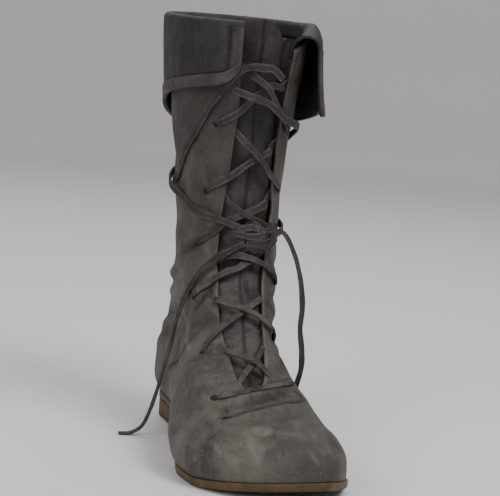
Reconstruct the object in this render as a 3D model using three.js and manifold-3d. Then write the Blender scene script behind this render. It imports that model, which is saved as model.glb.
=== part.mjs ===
// A front-laced medieval boot for the right foot, in millimetres: a leather outsole and stacked heel,
// a one-piece upper open at the throat and collar, a turned-down cuff, a tongue and a long flat lace.
// The boot stands on Z = 0 with its toe towards -Y. The origin is on the floor, under the heel's middle.
import * as THREE from "three";
import { mergeVertices } from "three/addons/utils/BufferGeometryUtils.js";
import Module from "manifold-3d";

const wasm = await Module();
wasm.setup();

// Driving sizes of the last and the sole
const soleLength = 292;
const ballWidth = 107;
const soleThickness = 6;
const heelLift = 15.5;
const heelLength = 93;
const heelMiddle = 45;
const topPieceThickness = 4;
const toeSpring = 14;
const soleMargin = 1.5;

// Driving sizes of the leg
const instepRise = 110;
const legRise = 194;
const shaftWidth = 77;
const throatWidth = 34;
const collarDip = 14;

// Leather thicknesses and the gap that pieces keep
const wall = 2.2;
const gap = 0.3;
const insoleThickness = 2.5;
const tongueThickness = 2;
const backstayThickness = 1.2;
const backstayWidth = 20;
const cuffThickness = 2.4;

// Cuff, lace and eyelet sizes
const cuffDrop = 87;
const cuffCorner = 16;
const cuffInside = 8;
const cuffFlare = 26;
const cuffOpening = 17;
const hemWidth = 9.5;
const hemRise = 0.8;
const laceWidth = 6;
const laceThickness = 1.8;
const laceClearance = 1.6;
const eyeletRadius = 2.2;

// Height of the sole's top face, as shares of the heel lift and of the toe spring
const soleLine = [
  { along: 0, heel: 1, toe: 0 },
  { along: 0.12, heel: 0.95, toe: 0 },
  { along: 0.3, heel: 0.74, toe: 0 },
  { along: 0.42, heel: 0.44, toe: 0 },
  { along: 0.54, heel: 0.12, toe: 0 },
  { along: 0.62, heel: 0, toe: 0 },
  { along: 0.74, heel: 0, toe: 0 },
  { along: 0.82, heel: 0, toe: 0.16 },
  { along: 0.91, heel: 0, toe: 0.5 },
  { along: 1, heel: 0, toe: 1 },
];

// Half widths of the outsole either side of its centre line, as shares of the ball width,
// before its two ends are rounded off; and the sideways swing of that line
const soleOutline = [
  { along: 0, lateral: 0.29, medial: 0.29, swing: 0 },
  { along: 0.1, lateral: 0.29, medial: 0.29, swing: 0 },
  { along: 0.22, lateral: 0.3, medial: 0.28, swing: -0.005 },
  { along: 0.36, lateral: 0.33, medial: 0.255, swing: -0.03 },
  { along: 0.48, lateral: 0.42, medial: 0.298, swing: -0.06 },
  { along: 0.6, lateral: 0.51, medial: 0.417, swing: -0.09 },
  { along: 0.68, lateral: 0.55, medial: 0.474, swing: -0.1 },
  { along: 0.76, lateral: 0.545, medial: 0.473, swing: -0.09 },
  { along: 0.84, lateral: 0.505, medial: 0.462, swing: -0.06 },
  { along: 0.92, lateral: 0.43, medial: 0.413, swing: -0.02 },
  { along: 1, lateral: 0.35, medial: 0.36, swing: 0.03 },
];
const heelRounding = 31;
const toeRounding = 66;
const toePoint = 1.8;
const toeFullness = 0.625;

// Sections of the upper from the sole to the collar. Each runs from a front point to a back point:
// along is a share of the sole's length, rise a share of the instep's rise, or past 1 of the leg's.
// Half is a share of the shaft's width, and leg says how far the section has turned from foot to leg.
const sections = [
  { front: 0.995, frontRise: 0, back: 0.005, backRise: 0, half: 0.42, leg: 0 },
  { front: 0.994, frontRise: 0.065, back: 0.003, backRise: 0.065, half: 0.42, leg: 0 },
  { front: 0.983, frontRise: 0.133, back: 0.006, backRise: 0.147, half: 0.42, leg: 0 },
  { front: 0.959, frontRise: 0.205, back: 0.011, backRise: 0.22, half: 0.42, leg: 0 },
  { front: 0.918, frontRise: 0.285, back: 0.016, backRise: 0.285, half: 0.42, leg: 0 },
  { front: 0.863, frontRise: 0.36, back: 0.022, backRise: 0.35, half: 0.42, leg: 0 },
  { front: 0.808, frontRise: 0.41, back: 0.028, backRise: 0.41, half: 0.42, leg: 0 },
  { front: 0.747, frontRise: 0.49, back: 0.036, backRise: 0.475, half: 0.43, leg: 0 },
  { front: 0.678, frontRise: 0.585, back: 0.045, backRise: 0.54, half: 0.44, leg: 0.04 },
  { front: 0.61, frontRise: 0.7, back: 0.055, backRise: 0.605, half: 0.45, leg: 0.14 },
  { front: 0.548, frontRise: 0.81, back: 0.067, backRise: 0.68, half: 0.455, leg: 0.32 },
  { front: 0.5, frontRise: 0.905, back: 0.075, backRise: 0.755, half: 0.46, leg: 0.55 },
  { front: 0.462, frontRise: 1, back: 0.08, backRise: 0.845, half: 0.465, leg: 0.78 },
  { front: 0.432, frontRise: 1.07, back: 0.082, backRise: 0.97, half: 0.47, leg: 0.94 },
  { front: 0.411, frontRise: 1.155, back: 0.08, backRise: 1.085, half: 0.48, leg: 1 },
  { front: 0.397, frontRise: 1.255, back: 0.077, backRise: 1.195, half: 0.495, leg: 1 },
  { front: 0.392, frontRise: 1.38, back: 0.069, backRise: 1.335, half: 0.515, leg: 1 },
  { front: 0.394, frontRise: 1.525, back: 0.053, backRise: 1.49, half: 0.549, leg: 1 },
  { front: 0.406, frontRise: 1.68, back: 0.036, backRise: 1.65, half: 0.596, leg: 1 },
  { front: 0.425, frontRise: 1.845, back: 0.021, backRise: 1.82, half: 0.645, leg: 1 },
  { front: 0.445, frontRise: 2, back: 0.008, backRise: 1.98, half: 0.685, leg: 1 },
];
const vaultPower = 2.3;
const legPower = 2.15;
const legSwing = 0.3;
const heelReach = 120;
const footSections = 9;
const followPower = 1.5;
const toeReach = 200;
const marginFade = 12;

// How far the soft leather stands out over the sole's edge, as shares of the ball width
const fullness = [
  { along: 0, lateral: 0, medial: 0 },
  { along: 0.06, lateral: 0.05, medial: 0.02 },
  { along: 0.16, lateral: 0.1, medial: 0.03 },
  { along: 0.3, lateral: 0.1, medial: 0.02 },
  { along: 0.45, lateral: 0.09, medial: 0.02 },
  { along: 0.6, lateral: 0.085, medial: 0.02 },
  { along: 0.72, lateral: 0.075, medial: 0.02 },
  { along: 0.84, lateral: 0.045, medial: 0.01 },
  { along: 0.93, lateral: 0.01, medial: 0 },
  { along: 1, lateral: 0, medial: 0 },
];
const fullestRise = 25;
const fullnessPower = 6;

// Slack of the leather in a soft roll over the outer ankle, as a share of the shaft's width
const ankleRoll = [
  { index: 0, slack: 0 },
  { index: 9.5, slack: 0 },
  { index: 11, slack: 0.05 },
  { index: 12.2, slack: 0.085 },
  { index: 13.2, slack: 0.02 },
  { index: 14, slack: 0 },
  { index: 20, slack: 0 },
];

// Sideways lean of the instep's ridge, as a share of the ball width
const crestLine = [
  { along: 0, lean: 0 },
  { along: 0.4, lean: 0 },
  { along: 0.52, lean: -0.02 },
  { along: 0.62, lean: -0.04 },
  { along: 0.72, lean: -0.045 },
  { along: 0.82, lean: -0.02 },
  { along: 0.92, lean: 0 },
  { along: 1, lean: 0 },
];

// A smooth curve through a table's rows that never swings past them
function curveThrough(rows, xName, yName) {
  const xs = rows.map((row) => row[xName]);
  const ys = rows.map((row) => row[yName]);
  const last = xs.length - 1;
  const rates = xs.slice(1).map((x, i) => (ys[i + 1] - ys[i]) / (x - xs[i]));
  const slopes = xs.map((x, i) => {
    if (i === 0) return rates[0];
    if (i === last) return rates[last - 1];
    const product = rates[i - 1] * rates[i];
    return product > 0 ? (2 * product) / (rates[i - 1] + rates[i]) : 0;
  });
  return (x) => {
    const at = Math.min(Math.max(x, xs[0]), xs[last]);
    let i = 0;
    while (i < last - 1 && at > xs[i + 1]) i += 1;
    const span = xs[i + 1] - xs[i];
    const t = (at - xs[i]) / span;
    const u = 1 - t;
    return (
      ys[i] * (1 + 2 * t) * u * u +
      slopes[i] * span * t * u * u +
      ys[i + 1] * t * t * (3 - 2 * t) -
      slopes[i + 1] * span * t * t * u
    );
  };
}

const clamp01 = (x) => Math.min(Math.max(x, 0), 1);
const mix = (a, b, t) => a + (b - a) * t;
const ease = (t) => clamp01(t) ** 2 * (3 - 2 * clamp01(t));
const degrees = (d) => (d * Math.PI) / 180;

// Even steps from one value to another, both included
const steps = (from, to, count) =>
  Array.from({ length: count + 1 }, (_, i) => mix(from, to, i / count));

const heelShare = curveThrough(soleLine, "along", "heel");
const toeShare = curveThrough(soleLine, "along", "toe");
const lateralShare = curveThrough(soleOutline, "along", "lateral");
const medialShare = curveThrough(soleOutline, "along", "medial");
const swingShare = curveThrough(soleOutline, "along", "swing");
const lateralFullness = curveThrough(fullness, "along", "lateral");
const medialFullness = curveThrough(fullness, "along", "medial");
const rollSlack = curveThrough(ankleRoll, "index", "slack");

// Distances along the boot run from the heel's back to the toe; Y runs the other way
const toY = (along) => heelMiddle - along;
const soleTop = (along) => {
  const share = along / soleLength;
  return soleThickness + heelLift * heelShare(share) + toeSpring * toeShare(share);
};
const soleCentre = (along) => ballWidth * swingShare(along / soleLength);

// Half width of the outsole on one side, with the heel and toe rounded off
function soleHalf(along, side) {
  const share = (side < 0 ? lateralShare : medialShare)(along / soleLength);
  const heelEnd = clamp01(1 - along / heelRounding);
  const toeEnd = clamp01(1 - (soleLength - along) / toeRounding);
  return (
    ballWidth * share * Math.sqrt(1 - heelEnd ** 2) * (1 - toeEnd ** toePoint) ** toeFullness
  );
}

const riseOf = (share) =>
  share <= 1 ? share * instepRise : instepRise + (share - 1) * legRise;
const profile = sections.map((row, index) => {
  const front = row.front * soleLength;
  const back = row.back * soleLength;
  return {
    index,
    front,
    back,
    frontZ: soleTop(front) + riseOf(row.frontRise),
    backZ: soleTop(back) + riseOf(row.backRise),
    half: row.half * shaftWidth,
    leg: row.leg,
  };
});
const sectionAt = Object.fromEntries(
  ["front", "back", "frontZ", "backZ", "half", "leg"].map((name) => [
    name,
    curveThrough(profile, "index", name),
  ]),
);
const topSection = profile.length - 1;

// Height of the ridge over each place along the foot; behind the instep it climbs away steeply
const instep = profile[12];
const ridgeSteps = 220;
const ridgeRows = steps(instep.index, 1, ridgeSteps).map((index) => ({
  along: sectionAt.front(index),
  z: sectionAt.frontZ(index),
}));
const ridgeThrough = curveThrough(ridgeRows, "along", "z");
const legSteepness = 4;
const ridge = (along) =>
  along < instep.front
    ? instep.frontZ + (instep.front - along) * legSteepness
    : ridgeThrough(along);
const crestLean = curveThrough(crestLine, "along", "lean");

// How far the collar dips where its inner front corner folds over: from none at the front, to all of
// it at the throat's edge, to none at the side
const dipFront = degrees(4);
const dipDeepest = degrees(24);
const dipSide = degrees(66);
const dipSections = 3.5;
const dipAt = (turn, index) =>
  collarDip *
  ease((turn - dipFront) / (dipDeepest - dipFront)) *
  ease((dipSide - turn) / (dipSide - dipDeepest)) *
  ease((index - topSection + dipSections) / dipSections);

// A point on the upper's outside. Turn runs from 0 at the front to half a turn at the back, positive
// on the inner side; index runs through the sections from the sole to the collar.
function upperPoint(turn, index) {
  const at = Object.fromEntries(
    Object.entries(sectionAt).map(([name, value]) => [name, value(index)]),
  );
  const t = (1 - Math.cos(turn)) / 2;
  const side = Math.sin(turn) < 0 ? -1 : 1;
  const along = mix(at.front, at.back, t);
  const follow = clamp01(1 - index / footSections) ** followPower;
  const chord = mix(soleTop(at.front), soleTop(at.back), t);
  const z = mix(at.frontZ, at.backZ, t) + follow * (soleTop(along) - chord);

  // the foot: the sole's outline, vaulted over to the ridge
  const toeZone = clamp01((along - toeReach) / (profile[0].front - toeReach));
  const stretched =
    along < heelReach
      ? ((along - at.back) * heelReach) / (heelReach - at.back)
      : along + (soleLength - profile[0].front) * toeZone ** 2;
  const edge = soleHalf(stretched, side);
  const inset = Math.max(edge - soleMargin * clamp01(edge / marginFade), 0);
  const rise = Math.max(z - soleTop(along), 0);
  const vault = clamp01(rise / Math.max(ridge(along) - soleTop(along), 0.001));
  const full = (side < 0 ? lateralFullness : medialFullness)(along / soleLength);
  const swell = (rise / fullestRise) * Math.exp(1 - rise / fullestRise);
  const foot =
    inset * (1 - vault ** vaultPower) ** (1 / vaultPower) +
    ballWidth * full * swell * (1 - vault ** fullnessPower);

  // the leg: an oval section
  const oval = Math.max(1 - Math.abs(2 * t - 1) ** legPower, 0) ** (1 / legPower);
  const onRidge = Math.abs(Math.sin(turn)) < 1e-9;
  const roll = side < 0 ? shaftWidth * rollSlack(index) * Math.sin(turn) ** 2 : 0;
  const half = onRidge ? 0 : mix(foot, at.half * oval, at.leg) + roll;
  const lean = ballWidth * crestLean(along / soleLength) * vault ** 2;
  const centre = mix(soleCentre(along) + lean, legSwing, at.leg);
  return new THREE.Vector3(centre + side * half, toY(along), z - dipAt(turn, index));
}

// The outward direction of the upper's surface
function upperNormal(turn, index) {
  const step = 0.02;
  const low = Math.max(index - step, 0);
  const high = Math.min(index + step, topSection);
  const around = upperPoint(turn + step, index).sub(upperPoint(turn - step, index));
  const along = upperPoint(turn, high).sub(upperPoint(turn, low));
  return around.cross(along).normalize();
}

const offUpper = (turn, index, lift) =>
  upperPoint(turn, index).addScaledVector(upperNormal(turn, index), lift);

// The turn at which a section reaches a given place across the boot, in front of its widest line
function turnTo(index, x) {
  let low = -Math.PI / 2;
  let high = Math.PI / 2;
  const halvings = 30;
  for (let i = 0; i < halvings; i += 1) {
    const middle = (low + high) / 2;
    if (upperPoint(middle, index).x < x) low = middle;
    else high = middle;
  }
  return (low + high) / 2;
}

// Closed solids as geometry, and their joining and cutting
function closedGeometry(points, triangles) {
  const volume = triangles.reduce(
    (sum, [a, b, c]) => sum + points[a].dot(points[b].clone().cross(points[c])),
    0,
  );
  const faces = volume < 0 ? triangles.map(([a, b, c]) => [a, c, b]) : triangles;
  const geometry = new THREE.BufferGeometry();
  geometry.setAttribute(
    "position",
    new THREE.Float32BufferAttribute(points.flatMap((p) => [p.x, p.y, p.z]), 3),
  );
  geometry.setIndex(faces.flat());
  return geometry;
}

function toSolid(geometry) {
  const bare = geometry.clone();
  bare.deleteAttribute("normal");
  bare.deleteAttribute("uv");
  const merged = mergeVertices(bare, 1e-3);
  return new wasm.Manifold(
    new wasm.Mesh({
      numProp: 3,
      vertProperties: merged.attributes.position.array,
      triVerts: new Uint32Array(merged.index.array),
    }),
  );
}

function toGeometry(solid) {
  const { vertProperties, triVerts } = solid.getMesh();
  const geometry = new THREE.BufferGeometry();
  geometry.setAttribute("position", new THREE.BufferAttribute(vertProperties, 3));
  geometry.setIndex(new THREE.BufferAttribute(triVerts, 1));
  return geometry;
}

// A sheet of leather as a closed solid: an outside and an inside grid, joined along their edges.
// A closed sheet joins its last column to its first.
function sheet(columns, rows, pointAt, closed = false) {
  const points = [];
  for (let layer = 0; layer < 2; layer += 1)
    for (let row = 0; row < rows; row += 1)
      for (let column = 0; column < columns; column += 1)
        points.push(pointAt(column, row, layer));
  const id = (column, row, layer) => (layer * rows + row) * columns + (column % columns);
  const triangles = [];
  const quad = (a, b, c, d) => triangles.push([a, b, c], [a, c, d]);
  const spans = closed ? columns : columns - 1;
  for (let row = 0; row < rows - 1; row += 1)
    for (let column = 0; column < spans; column += 1) {
      const [c, r] = [column + 1, row + 1];
      quad(id(column, row, 0), id(c, row, 0), id(c, r, 0), id(column, r, 0));
      quad(id(column, r, 1), id(c, r, 1), id(c, row, 1), id(column, row, 1));
    }
  for (let column = 0; column < spans; column += 1) {
    const [c, r] = [column + 1, rows - 1];
    quad(id(column, 0, 1), id(c, 0, 1), id(c, 0, 0), id(column, 0, 0));
    quad(id(column, r, 0), id(c, r, 0), id(c, r, 1), id(column, r, 1));
  }
  for (let row = 0; !closed && row < rows - 1; row += 1) {
    const [c, r] = [columns - 1, row + 1];
    quad(id(0, row, 0), id(0, r, 0), id(0, r, 1), id(0, row, 1));
    quad(id(c, row, 1), id(c, r, 1), id(c, r, 0), id(c, row, 0));
  }
  return closedGeometry(points, triangles);
}

// A slab cut to a plan outline and, across it, to a side profile
function slab(outline, lower, upper, from, to) {
  const tall = instepRise;
  const column = new THREE.ExtrudeGeometry(outline, { depth: tall, bevelEnabled: false });
  column.translate(0, 0, -tall / 4);
  const spans = 26;
  const stations = steps(from, to, spans);
  const side = new THREE.Shape([
    ...stations.map((s) => new THREE.Vector2(toY(s), lower(s))),
    ...stations.reverse().map((s) => new THREE.Vector2(toY(s), upper(s))),
  ]);
  const across = new THREE.ExtrudeGeometry(side, { depth: 2 * ballWidth, bevelEnabled: false });
  across.rotateX(Math.PI / 2);
  across.rotateZ(Math.PI / 2);
  across.translate(-ballWidth, 0, 0);
  return toSolid(column).intersect(toSolid(across));
}

// The outsole's outline in plan, taken in evenly by a margin
const outlineCount = 34;
function planOutline(margin) {
  const places = steps(0, Math.PI, outlineCount).map(
    (a) => (soleLength * (1 - Math.cos(a))) / 2,
  );
  const edge = (along, side) =>
    new THREE.Vector2(soleCentre(along) + side * soleHalf(along, side), toY(along));
  const ring = [
    ...places.map((along) => edge(along, 1)),
    ...places.slice(1, -1).reverse().map((along) => edge(along, -1)),
  ];
  const taken = ring.map((point, i) => {
    const before = ring.at(i - 1);
    const after = ring[(i + 1) % ring.length];
    const along = after.clone().sub(before).normalize();
    return new THREE.Vector2(point.x + along.y * margin, point.y - along.x * margin);
  });
  return new THREE.Shape(taken);
}

const sideReach = 5;

// Outsole, with its toe spring and arch
const makeOutsole = () =>
  slab(
    planOutline(0),
    (along) => soleTop(along) - soleThickness,
    soleTop,
    -sideReach,
    soleLength + sideReach,
  );

// Heel block: a stack of lifts over a top piece that meets the floor
const heelMargin = 0.6;
const makeHeel = (lower, upper) =>
  slab(planOutline(heelMargin), lower, upper, -sideReach, heelLength);
const makeHeelStack = () =>
  makeHeel(
    () => topPieceThickness + gap,
    (along) => soleTop(along) - soleThickness - gap,
  );
const makeTopPiece = () => makeHeel(() => 0, () => topPieceThickness);

// Insole, inside the upper's foot
function makeInsole() {
  const margin = soleMargin + wall + 3 * gap;
  const bottom = (along) => soleTop(along) + gap;
  const top = (along) => bottom(along) + insoleThickness;
  return slab(planOutline(margin), bottom, top, -sideReach, soleLength + sideReach);
}

// Throat: an opening down the front, from the collar to above the ball. Half is its half width and
// middle its place across the boot, both as shares of the throat's width.
const throatShape = [
  { index: 7.38, half: 0, middle: -0.65 },
  { index: 7.5, half: 0.14, middle: -0.64 },
  { index: 7.8, half: 0.27, middle: -0.6 },
  { index: 8.9, half: 0.39, middle: -0.47 },
  { index: 9.6, half: 0.44, middle: -0.4 },
  { index: 11, half: 0.49, middle: -0.26 },
  { index: 12.5, half: 0.5, middle: -0.17 },
  { index: 13.7, half: 0.55, middle: -0.08 },
  { index: 15.2, half: 0.55, middle: 0 },
  { index: 16.2, half: 0.5, middle: 0.04 },
  { index: 18, half: 0.48, middle: 0.09 },
  { index: 19.2, half: 0.55, middle: 0.07 },
  { index: topSection, half: 0.58, middle: 0.07 },
];
const throatHalfShare = curveThrough(throatShape, "index", "half");
const throatMiddleShare = curveThrough(throatShape, "index", "middle");
const throatHalf = (index) => throatWidth * throatHalfShare(index);
const throatMiddle = (index) => throatWidth * throatMiddleShare(index);

// Eyelets in pairs beside the throat, from the collar down: the section of each and its place across
// the boot, as a share of the throat's width
const eyelets = [
  { lateralSection: 19.1, lateral: -0.89, medialSection: 19, medial: 0.99 },
  { lateralSection: 17.6, lateral: -0.79, medialSection: 17.5, medial: 0.99 },
  { lateralSection: 15.8, lateral: -0.86, medialSection: 15.9, medial: 0.89 },
  { lateralSection: 14, lateral: -0.97, medialSection: 14.2, medial: 0.82 },
  { lateralSection: 11.5, lateral: -1.07, medialSection: 12.4, medial: 0.75 },
  { lateralSection: 8.75, lateral: -1.27, medialSection: 9.3, medial: 0.47 },
  { lateralSection: 6.65, lateral: -1.46, medialSection: 7.45, medial: 0.48 },
  { lateralSection: 4.9, lateral: -1.38, medialSection: 6.35, medial: 0.57 },
];

const eyeletPlaces = eyelets.map((pair) => [
  { turn: turnTo(pair.lateralSection, pair.lateral * throatWidth), section: pair.lateralSection },
  { turn: turnTo(pair.medialSection, pair.medial * throatWidth), section: pair.medialSection },
]);

function makeUpper() {
  const columns = 46;
  const rows = 21;
  const holeSides = 8;
  const shell = sheet(
    columns,
    rows,
    (column, row, layer) => {
      const turn = (column / columns) * 2 * Math.PI - Math.PI;
      const index = (row / (rows - 1)) * topSection;
      const outside = upperPoint(turn, index);
      if (layer === 1) outside.addScaledVector(upperNormal(turn, index), -wall);
      if (row === 0) outside.z = upperPoint(turn, 0).z + gap;
      return outside;
    },
    true,
  );
  const levels = throatShape.slice(1).flatMap((row, i) =>
    steps(throatShape[i].index, row.index, i < 2 ? 1 : 2).slice(1),
  );
  const side = (sign) =>
    levels.map((index) => [
      throatMiddle(index) + sign * throatHalf(index),
      upperPoint(0, index).z,
    ]);
  const overCollar = 20;
  const bottom = [throatMiddle(throatShape[0].index), upperPoint(0, throatShape[0].index).z];
  const [right, left] = [side(1), side(-1)];
  for (const edge of [right, left]) edge.push([edge.at(-1)[0], edge.at(-1)[1] + overCollar]);
  const opening = new THREE.Shape(
    [bottom, ...right, ...left.reverse()].map(([x, z]) => new THREE.Vector2(x, z)),
  );
  const cutter = new THREE.ExtrudeGeometry(opening, { depth: soleLength, bevelEnabled: false });
  cutter.rotateX(Math.PI / 2);
  cutter.translate(0, toY(sectionAt.back(topSection) + shaftWidth / 2), 0);
  let upper = toSolid(shell).subtract(toSolid(cutter));
  for (const { turn, section } of eyeletPlaces.flat()) {
    const hole = new THREE.CylinderGeometry(eyeletRadius, eyeletRadius, 4 * wall, holeSides);
    const up = new THREE.Vector3(0, 1, 0);
    const facing = new THREE.Quaternion().setFromUnitVectors(up, upperNormal(turn, section));
    hole.applyQuaternion(facing);
    hole.translate(...offUpper(turn, section, -wall / 2).toArray());
    upper = upper.subtract(toSolid(hole));
  }
  return upper;
}

// Backstay: a strip down the back seam, outside the upper
const backstayFoot = 0.15;
const backstayTop = 18.6;
function makeBackstay() {
  const rows = 19;
  const columns = 5;
  return sheet(columns, rows, (column, row, layer) => {
    const index = mix(backstayFoot, backstayTop, row / (rows - 1));
    const across = mix(-0.5, 0.5, column / (columns - 1)) * backstayWidth;
    const turn = Math.PI - across / sectionAt.half(index);
    return offUpper(turn, index, 2 * gap + (1 - layer) * backstayThickness);
  });
}

// Tongue, behind the throat, from inside the vamp to just over the collar. Near the collar it stands
// back behind the cuff's inside.
const tongueFoot = 6.4;
const tongueLap = 7;
const tongueOver = 5;
const standsBackFrom = 3;
const standsBackOver = 1.5;
function makeTongue() {
  const columns = 8;
  const rows = 20;
  const behind = (index) =>
    mix(
      3 * gap,
      cuffThickness + 10 * gap,
      ease((index - topSection + standsBackFrom) / standsBackOver),
    );
  return sheet(columns, rows, (column, row, layer) => {
    const index = mix(tongueFoot, topSection, Math.min(row / (rows - 2), 1));
    const across = mix(-1, 1, column / (columns - 1)) * (throatHalf(index) + tongueLap);
    const turn = turnTo(index, throatMiddle(index) + across);
    const point = offUpper(turn, index, -wall - behind(index) - layer * tongueThickness);
    if (row === rows - 1) point.z += tongueOver;
    return point;
  });
}

// Cuff: sewn inside the collar, rolled over it and hanging down outside. Along runs from its outer
// front edge round the back to its inner front edge; drop is a share of the cuff's drop, flare how far
// its hem stands off and open how far its roll stands open sideways, as shares of those two sizes.
const cuffShape = [
  { along: 0, drop: 0.47, flare: 0.1, open: 0 },
  { along: 0.15, drop: 0.57, flare: -0.2, open: 0 },
  { along: 0.3, drop: 0.69, flare: -0.22, open: 0 },
  { along: 0.5, drop: 1, flare: 0, open: 0 },
  { along: 0.75, drop: 0.85, flare: 0.1, open: 0 },
  { along: 0.88, drop: 0.76, flare: 0.45, open: 0.18 },
  { along: 1, drop: 0.7, flare: 0.5, open: 1 },
];
const flarePower = 1.4;
const archShare = 0.4;
const cuffDropShare = curveThrough(cuffShape, "along", "drop");
const cuffFlareShare = curveThrough(cuffShape, "along", "flare");
const cuffOpenShare = curveThrough(cuffShape, "along", "open");

function makeCuff() {
  const firstTurn = turnTo(topSection, throatMiddle(topSection) - throatHalf(topSection));
  const lastTurn = turnTo(topSection, throatMiddle(topSection) + throatHalf(topSection));
  const turnAt = (share) => mix(firstTurn, lastTurn - 2 * Math.PI, share);

  // equal lengths along the collar
  const pieces = 200;
  const lengths = [0];
  for (let i = 1; i <= pieces; i += 1) {
    const here = upperPoint(turnAt(i / pieces), topSection);
    const before = upperPoint(turnAt((i - 1) / pieces), topSection);
    lengths.push(lengths[i - 1] + here.distanceTo(before));
  }
  const around = lengths[pieces];
  const turnAfter = (length) => {
    const i = Math.max(lengths.findIndex((l) => l >= length - 1e-9), 1);
    const part = (length - lengths[i - 1]) / (lengths[i] - lengths[i - 1]);
    return turnAt((i - 1 + part) / pieces);
  };

  // places along the collar, with the hem's step and the round corners at both ends
  const hemStep = 0.4;
  const ends = [0, 1.5, 5, hemWidth - hemStep, hemWidth, cuffCorner];
  const places = [
    ...ends,
    ...steps(cuffCorner, around - cuffCorner, 17).slice(1, -1),
    ...ends.map((end) => around - end).reverse(),
  ];

  // rows across the leather: inside the collar, over the roll, down the outside and over the hem
  const rollTurns = steps(Math.PI, 0, 5);
  const falls = [0.2, 0.45, 0.7];
  const hemShares = [1, 1 - hemStep / hemWidth, 0];
  const inner = -(wall + 3 * gap + cuffThickness / 2);
  const outer = 3 * gap + cuffThickness / 2;
  const rollMiddle = (inner + outer) / 2;
  const rollRadius = (outer - inner) / 2;
  const outsideFrom = 1 + rollTurns.length;
  const rows = outsideFrom + falls.length + hemShares.length;

  const place = (column, row) => {
    const length = places[column];
    const turn = turnAfter(length);
    const base = upperPoint(turn, topSection);
    const out = upperNormal(turn, topSection);
    const up = base.clone().sub(upperPoint(turn, topSection - 0.02)).normalize();
    const share = length / around;
    const open = cuffOpening * cuffOpenShare(share);
    if (row < outsideFrom) {
      const angle = rollTurns[Math.max(row - 1, 0)];
      const lower = row === 0 ? cuffInside : 0;
      base.x += (open * (1 + Math.cos(angle))) / 2;
      return base
        .addScaledVector(out, rollMiddle + rollRadius * Math.cos(angle))
        .addScaledVector(up, (rollRadius + archShare * open) * Math.sin(angle) - lower);
    }
    const corner = Math.max(cuffCorner - Math.min(length, around - length), 0);
    const fullDrop = cuffDrop * cuffDropShare(share);
    const drop = fullDrop - cuffCorner + Math.sqrt(cuffCorner ** 2 - corner ** 2);
    const fall = row - outsideFrom;
    const down =
      fall < falls.length
        ? falls[fall] * (drop - hemWidth)
        : drop - hemShares[fall - falls.length] * hemWidth;
    const level = new THREE.Vector3(out.x, out.y, 0).normalize();
    const flare = cuffFlare * cuffFlareShare(share) * (down / cuffDrop) ** flarePower;
    base.addScaledVector(out, outer).addScaledVector(level, flare);
    base.x += open;
    base.z -= down;
    return base;
  };

  return sheet(places.length, rows, (column, row, layer) => {
    const here = place(column, row);
    const down = place(column, Math.min(row + 1, rows - 1)).sub(
      place(column, Math.max(row - 1, 0)),
    );
    const aside = place(Math.min(column + 1, places.length - 1), row).sub(
      place(Math.max(column - 1, 0), row),
    );
    const face = down.cross(aside).normalize();
    const length = places[column];
    const atEnd = Math.min(length, around - length) < hemWidth - hemStep / 2;
    const onHem = row >= rows - 2 || (atEnd && row >= outsideFrom);
    const half = cuffThickness / 2;
    return here.addScaledVector(face, layer === 0 ? -half - (onHem ? hemRise : 0) : half);
  });
}

// A flat thong along a route. Each place has its point and the way that the lace's face looks, and
// the section is drawn across the thong and through its thickness, in shares of each.
const cutSection = [
  { across: -0.5, through: -0.5 },
  { across: 0.5, through: -0.5 },
  { across: 0.5, through: 0.5 },
  { across: -0.5, through: 0.5 },
];
const wornSection = [
  { across: -0.5, through: -0.2 },
  { across: -0.38, through: -0.5 },
  { across: 0.38, through: -0.5 },
  { across: 0.5, through: -0.2 },
  { across: 0.5, through: 0.2 },
  { across: 0.38, through: 0.5 },
  { across: -0.38, through: 0.5 },
  { across: -0.5, through: 0.2 },
];
function thong(places, section) {
  const line = new THREE.CatmullRomCurve3(places.map((p) => p.point), false, "centripetal");
  const faces = new THREE.CatmullRomCurve3(places.map((p) => p.face), false, "centripetal");
  const count = places.length - 1;
  const sides = section.length;
  const points = steps(0, 1, count).flatMap((t) => {
    const along = line.getTangent(t);
    const across = faces.getPoint(t).cross(along).normalize();
    const face = along.clone().cross(across).normalize();
    return section.map((corner) =>
      line
        .getPoint(t)
        .addScaledVector(across, corner.across * laceWidth)
        .addScaledVector(face, corner.through * laceThickness),
    );
  });
  const triangles = [];
  for (let i = 0; i < count; i += 1)
    for (let j = 0; j < sides; j += 1) {
      const [a, b] = [i * sides + j, i * sides + ((j + 1) % sides)];
      triangles.push([a, b, b + sides], [a, b + sides, a + sides]);
    }
  const last = count * sides;
  for (let j = 1; j < sides - 1; j += 1)
    triangles.push([0, j + 1, j], [last, last + j, last + j + 1]);
  return closedGeometry(points, triangles);
}
const onUpper = ({ turn, section, lift }) => ({
  point: offUpper(turn, section, lift),
  face: upperNormal(turn, section),
});

// Lace over the throat: crosses from each pair of eyelets to the next, with a bar at the lowest two.
// Bow lifts a bar's middle by a number of sections, so that it runs straight over the instep.
const laceLift = laceThickness / 2 + laceClearance;
const barSteps = 6;
function makeBar(from, to, bow = 0) {
  const route = steps(0, 1, barSteps).map((share) =>
    onUpper({
      turn: mix(from.turn, to.turn, share),
      section: mix(from.section, to.section, share) + 4 * bow * share * (1 - share),
      lift: laceLift,
    }),
  );
  return toSolid(thong(route, cutSection));
}
const crossed = eyeletPlaces.slice(0, -1);
const upperBarBow = 0.65;
const lowerBarBow = 1.1;
function makeLacing() {
  let lacing = makeBar(...crossed.at(-1), upperBarBow);
  crossed.slice(1).forEach((below, i) => {
    lacing = lacing.add(makeBar(crossed[i][0], below[1])).add(makeBar(crossed[i][1], below[0]));
  });
  return lacing;
}

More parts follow.
